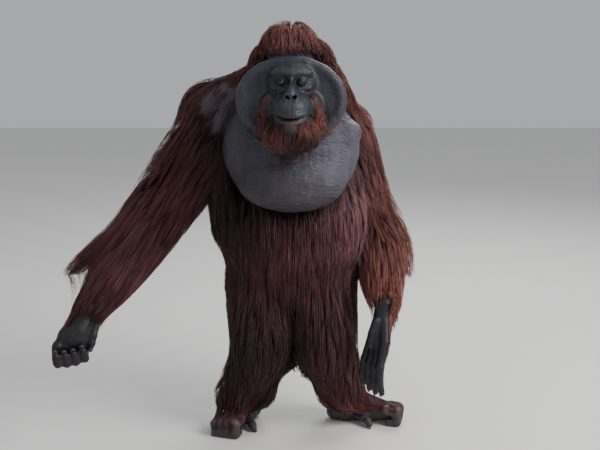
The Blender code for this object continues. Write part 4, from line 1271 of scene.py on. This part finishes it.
def headLength(p):
    # Short above the forehead, longest down the sides and the nape
    front = smooth(-p[:, 1], 0.14, 0.20) * smooth(p[:, 2], 1.20, 1.25)
    fringe = 0.020 + 0.75 * np.clip(p[:, 2] - 1.262, 0.0, 0.2) + 0.25 * np.clip(0.26 + p[:, 1], 0.0, 0.1)
    full = coatLengths["head"] * (1.0 + 0.45 * (1.0 - smooth(p[:, 2], 1.12, 1.20)))
    return full * (1.0 - front) + np.minimum(fringe, full) * front


def evenLength(name):
    return lambda p: np.full(len(p), coatLengths[name])


quickShare = 1.0
front = smooth(-lie["normals"][:, 1], -0.10, 0.10)
splitR = (boneGap(lie["places"], joints["shoulderR"], joints["elbowR"])[0]
          < boneGap(lie["places"], joints["elbowR"], joints["wristR"])[0]) * 1.0
recipes = (
    # name, kind, where, hairs, locks, length, width
    ("coat_belly", "trunk", growth["trunk"] * front, 12000, 1300, trunkLength, 0.0021),
    ("coat_back", "trunk", growth["trunk"] * (1 - front), 10500, 1000, trunkLength, 0.0024),
    ("coat_head", "head", growth["head"], 10500, 1700, headLength, 0.0016),
    ("coat_upper_arm_right", "armR", growth["armR"] * splitR, 9500, 1000, armLength, 0.0020),
    ("coat_forearm_right", "armR", growth["armR"] * (1 - splitR), 9500, 1000, armLength, 0.0020),
    ("coat_arm_left", "armL", growth["armL"], 11500, 1300, armLength, 0.0020),
    ("coat_leg_right", "legR", growth["legR"], 9500, 900, legLength, 0.0021),
    ("coat_leg_left", "legL", growth["legL"], 9500, 900, legLength, 0.0021),
    ("coat_beard", "head", growth["beard"], 4000, 420, evenLength("beard"), 0.0014),
    ("coat_moustache", "head", growth["moustache"], 1600, 150, evenLength("moustache"), 0.0011),
    ("coat_hands", "trunk", growth["hand"], 3000, 330, evenLength("hand"), 0.0014),
    ("coat_feet", "trunk", growth["foot"], 2200, 180, evenLength("foot"), 0.0016),
)
coatPieces = []
for name, kind, where, hairs, locks, length, width in recipes:
    piece = coatPiece(name, kind, where * thickness, int(hairs * quickShare), locks, length, width)
    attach(piece, "root")
    coatPieces.append(piece)


# Finishes
def newMaterial(name):
    material = bpy.data.materials.new(name)
    material.use_nodes = True
    nodes = material.node_tree.nodes
    return material, nodes, material.node_tree.links, nodes["Principled BSDF"]


def mottleGroup():
    # Slow and fine changes of shade over a surface, around 1
    group = bpy.data.node_groups.new("mottle", "ShaderNodeTree")
    sockets = group.interface
    sockets.new_socket("Scale", in_out="INPUT", socket_type="NodeSocketFloat").default_value = 30.0
    sockets.new_socket("Depth", in_out="INPUT", socket_type="NodeSocketFloat").default_value = 0.3
    sockets.new_socket("Shade", in_out="OUTPUT", socket_type="NodeSocketFloat")
    nodes, links = group.nodes, group.links
    entry = nodes.new("NodeGroupInput")
    exitNode = nodes.new("NodeGroupOutput")
    place = nodes.new("ShaderNodeTexCoord")
    noise = nodes.new("ShaderNodeTexNoise")
    noise.inputs["Detail"].default_value = 5.0
    spread = nodes.new("ShaderNodeMath")
    spread.operation = "SUBTRACT"
    spread.inputs[1].default_value = 0.5
    scaled = nodes.new("ShaderNodeMath")
    scaled.operation = "MULTIPLY_ADD"
    scaled.inputs[2].default_value = 1.0
    links.new(place.outputs["Object"], noise.inputs["Vector"])
    links.new(entry.outputs["Scale"], noise.inputs["Scale"])
    links.new(noise.outputs["Fac"], spread.inputs[0])
    links.new(spread.outputs[0], scaled.inputs[0])
    links.new(entry.outputs["Depth"], scaled.inputs[1])
    links.new(scaled.outputs[0], exitNode.inputs["Shade"])
    return group


mottle = mottleGroup()


def attributeNode(nodes, name):
    node = nodes.new("ShaderNodeAttribute")
    node.attribute_name = name
    return node


def mathNode(nodes, links, operation, *values):
    node = nodes.new("ShaderNodeMath")
    node.operation = operation
    for index, value in enumerate(values):
        if hasattr(value, "links"):
            links.new(value, node.inputs[index])
        else:
            node.inputs[index].default_value = value
    return node.outputs[0]


def shadedColour(nodes, links, colour, shade):
    scale = nodes.new("ShaderNodeVectorMath")
    scale.operation = "SCALE"
    links.new(colour, scale.inputs[0])
    links.new(shade, scale.inputs["Scale"])
    return scale.outputs[0]


def mottled(nodes, scale, depth):
    node = nodes.new("ShaderNodeGroup")
    node.node_tree = mottle
    node.inputs["Scale"].default_value = scale
    node.inputs["Depth"].default_value = depth
    return node.outputs["Shade"]


def noiseAt(nodes, links, vector, scale, detail=4.0):
    noise = nodes.new("ShaderNodeTexNoise")
    noise.inputs["Scale"].default_value = scale
    noise.inputs["Detail"].default_value = detail
    links.new(vector, noise.inputs["Vector"])
    return noise.outputs["Fac"]


def skinMaterial():
    # Bare hide: pebbled pads, cross-wrinkled pouch, lined hands
    material, nodes, links, shader = newMaterial("bareSkin")
    place = nodes.new("ShaderNodeTexCoord").outputs["Object"]
    colour = attributeNode(nodes, "marking").outputs["Color"]
    shade = mathNode(nodes, links, "MULTIPLY", mottled(nodes, 34.0, 0.45), mottled(nodes, 230.0, 0.35))
    links.new(shadedColour(nodes, links, colour, shade), shader.inputs["Base Color"])
    pads = attributeNode(nodes, "padGrain").outputs["Fac"]
    pouch = attributeNode(nodes, "pouchGrain").outputs["Fac"]
    hands = attributeNode(nodes, "handGrain").outputs["Fac"]
    pebble = nodes.new("ShaderNodeTexVoronoi")
    pebble.feature = "SMOOTH_F1"
    pebble.inputs["Scale"].default_value = 210.0
    links.new(place, pebble.inputs["Vector"])
    lined = nodes.new("ShaderNodeMapping")
    lined.inputs["Scale"].default_value = (62.0, 62.0, 170.0)
    links.new(place, lined.inputs["Vector"])
    lines = noiseAt(nodes, links, lined.outputs["Vector"], 1.0, 5.0)
    creases = noiseAt(nodes, links, place, 120.0, 6.0)
    sunken = mathNode(nodes, links, "MULTIPLY", pebble.outputs["Distance"], -1.0)
    height = mathNode(nodes, links, "MULTIPLY", sunken, pads)
    pouchLines = mathNode(nodes, links, "MULTIPLY", lines, pouch)
    height = mathNode(nodes, links, "MULTIPLY_ADD", pouchLines, 3.6, height)
    handCreases = mathNode(nodes, links, "MULTIPLY", creases, hands)
    height = mathNode(nodes, links, "MULTIPLY_ADD", handCreases, 1.2, height)
    height = mathNode(nodes, links, "MULTIPLY_ADD", noiseAt(nodes, links, place, 420.0), 0.35, height)
    bump = nodes.new("ShaderNodeBump")
    bump.inputs["Strength"].default_value = 0.65
    bump.inputs["Distance"].default_value = 0.0022
    links.new(height, bump.inputs["Height"])
    links.new(bump.outputs["Normal"], shader.inputs["Normal"])
    rough = mathNode(nodes, links, "MULTIPLY_ADD", noiseAt(nodes, links, place, 60.0), 0.22, 0.38)
    wetness = attributeNode(nodes, "wet").outputs["Fac"]
    rough = mathNode(nodes, links, "MULTIPLY_ADD", wetness, -0.22, rough)
    links.new(rough, shader.inputs["Roughness"])
    shader.inputs["Specular IOR Level"].default_value = 0.38
    return material


def eyeMaterial():
    material, nodes, links, shader = newMaterial("wetEye")
    colour = attributeNode(nodes, "marking").outputs["Color"]
    links.new(shadedColour(nodes, links, colour, mottled(nodes, 900.0, 0.8)), shader.inputs["Base Color"])
    shader.inputs["Roughness"].default_value = 0.08
    shader.inputs["Coat Weight"].default_value = 0.5
    shader.inputs["Coat Roughness"].default_value = 0.02
    shader.inputs["Specular IOR Level"].default_value = 0.6
    return material


def nailMaterial():
    material, nodes, links, shader = newMaterial("nail")
    ramp = nodes.new("ShaderNodeMix")
    ramp.data_type = "RGBA"
    ramp.inputs["A"].default_value = (0.018, 0.015, 0.016, 1.0)
    ramp.inputs["B"].default_value = (0.060, 0.048, 0.044, 1.0)
    place = nodes.new("ShaderNodeTexCoord").outputs["Object"]
    links.new(noiseAt(nodes, links, place, 260.0), ramp.inputs["Factor"])
    colour = shadedColour(nodes, links, ramp.outputs["Result"], mottled(nodes, 600.0, 0.5))
    links.new(colour, shader.inputs["Base Color"])
    rough = mathNode(nodes, links, "MULTIPLY_ADD", noiseAt(nodes, links, place, 500.0), 0.2, 0.28)
    links.new(rough, shader.inputs["Roughness"])
    return material


def coatMaterial():
    # Hair: the tint of its root, paler to its tip, with a soft gloss
    material, nodes, links, shader = newMaterial("longHair")
    colour = attributeNode(nodes, "marking").outputs["Color"]
    shade = mathNode(nodes, links, "MULTIPLY", mottled(nodes, 14.0, 0.5), mottled(nodes, 160.0, 0.5))
    links.new(shadedColour(nodes, links, colour, shade), shader.inputs["Base Color"])
    place = nodes.new("ShaderNodeTexCoord").outputs["Object"]
    rough = mathNode(nodes, links, "MULTIPLY_ADD", noiseAt(nodes, links, place, 90.0), 0.25, 0.42)
    links.new(rough, shader.inputs["Roughness"])
    shader.inputs["Specular IOR Level"].default_value = 0.35
    return material


hairFinish = coatMaterial()
for piece in coatPieces:
    piece.data.materials.append(hairFinish)
skin.data.materials.clear()
skin.data.materials.append(skinMaterial())
eyeFinish = eyeMaterial()
for eye in eyeBalls:
    eye.data.materials.append(eyeFinish)
nailPlates.data.materials.clear()
nailPlates.data.materials.append(nailMaterial())
print("finishes made")


# Floor, light and camera
studio = {
    "cameraPlace": (0.0, -3.45, 1.43), "pitch": 12.0, "lens": 64.8,
    "floorSize": 14.0, "floorPlace": (0.0, 1.5, 0.0), "floorTint": (0.72, 0.71, 0.69),
    "skyTint": (0.86, 0.88, 0.92), "skyPower": 0.55,
    "aim": (0.1, 0.0, 0.75),
    "lamps": (    # name, place, width, power, tint
        ("key", (3.0, -1.6, 2.9), 2.4, 170.0, (1.0, 0.98, 0.97)),
        ("fill", (-2.4, -2.8, 2.4), 2.8, 16.0, (0.92, 0.95, 1.0)),
        ("back", (1.2, 2.4, 3.0), 2.4, 80.0, (1.0, 0.98, 0.98)),
    ),
}


def makeStudio():
    bpy.ops.mesh.primitive_plane_add(size=studio["floorSize"], location=studio["floorPlace"])
    floor = bpy.context.active_object
    floor.name = "floor"
    bpy.ops.object.transform_apply(location=True)
    material, _, _, shader = newMaterial("paleFloor")
    shader.inputs["Base Color"].default_value = (*studio["floorTint"], 1.0)
    shader.inputs["Roughness"].default_value = 0.8
    floor.data.materials.append(material)
    world = bpy.data.worlds.new("paleRoom")
    scene.world = world
    world.use_nodes = True
    background = world.node_tree.nodes["Background"]
    background.inputs["Color"].default_value = (*studio["skyTint"], 1.0)
    background.inputs["Strength"].default_value = studio["skyPower"]
    for name, place, size, power, tint in studio["lamps"]:
        bpy.ops.object.light_add(type="AREA", location=place)
        lamp = bpy.context.active_object
        lamp.name = name
        lamp.data.shape = "DISK"
        lamp.data.size = size
        lamp.data.energy = power
        lamp.data.color = tint
        aim = Vector(studio["aim"]) - Vector(place)
        lamp.rotation_euler = aim.to_track_quat("-Z", "Y").to_euler()
    bpy.ops.object.camera_add(location=Vector(studio["cameraPlace"]) + origin,
                              rotation=(math.radians(90.0 - studio["pitch"]), 0.0, 0.0))
    camera = bpy.context.active_object
    camera.data.lens = studio["lens"]
    camera.data.sensor_width = 36.0
    scene.camera = camera


makeStudio()
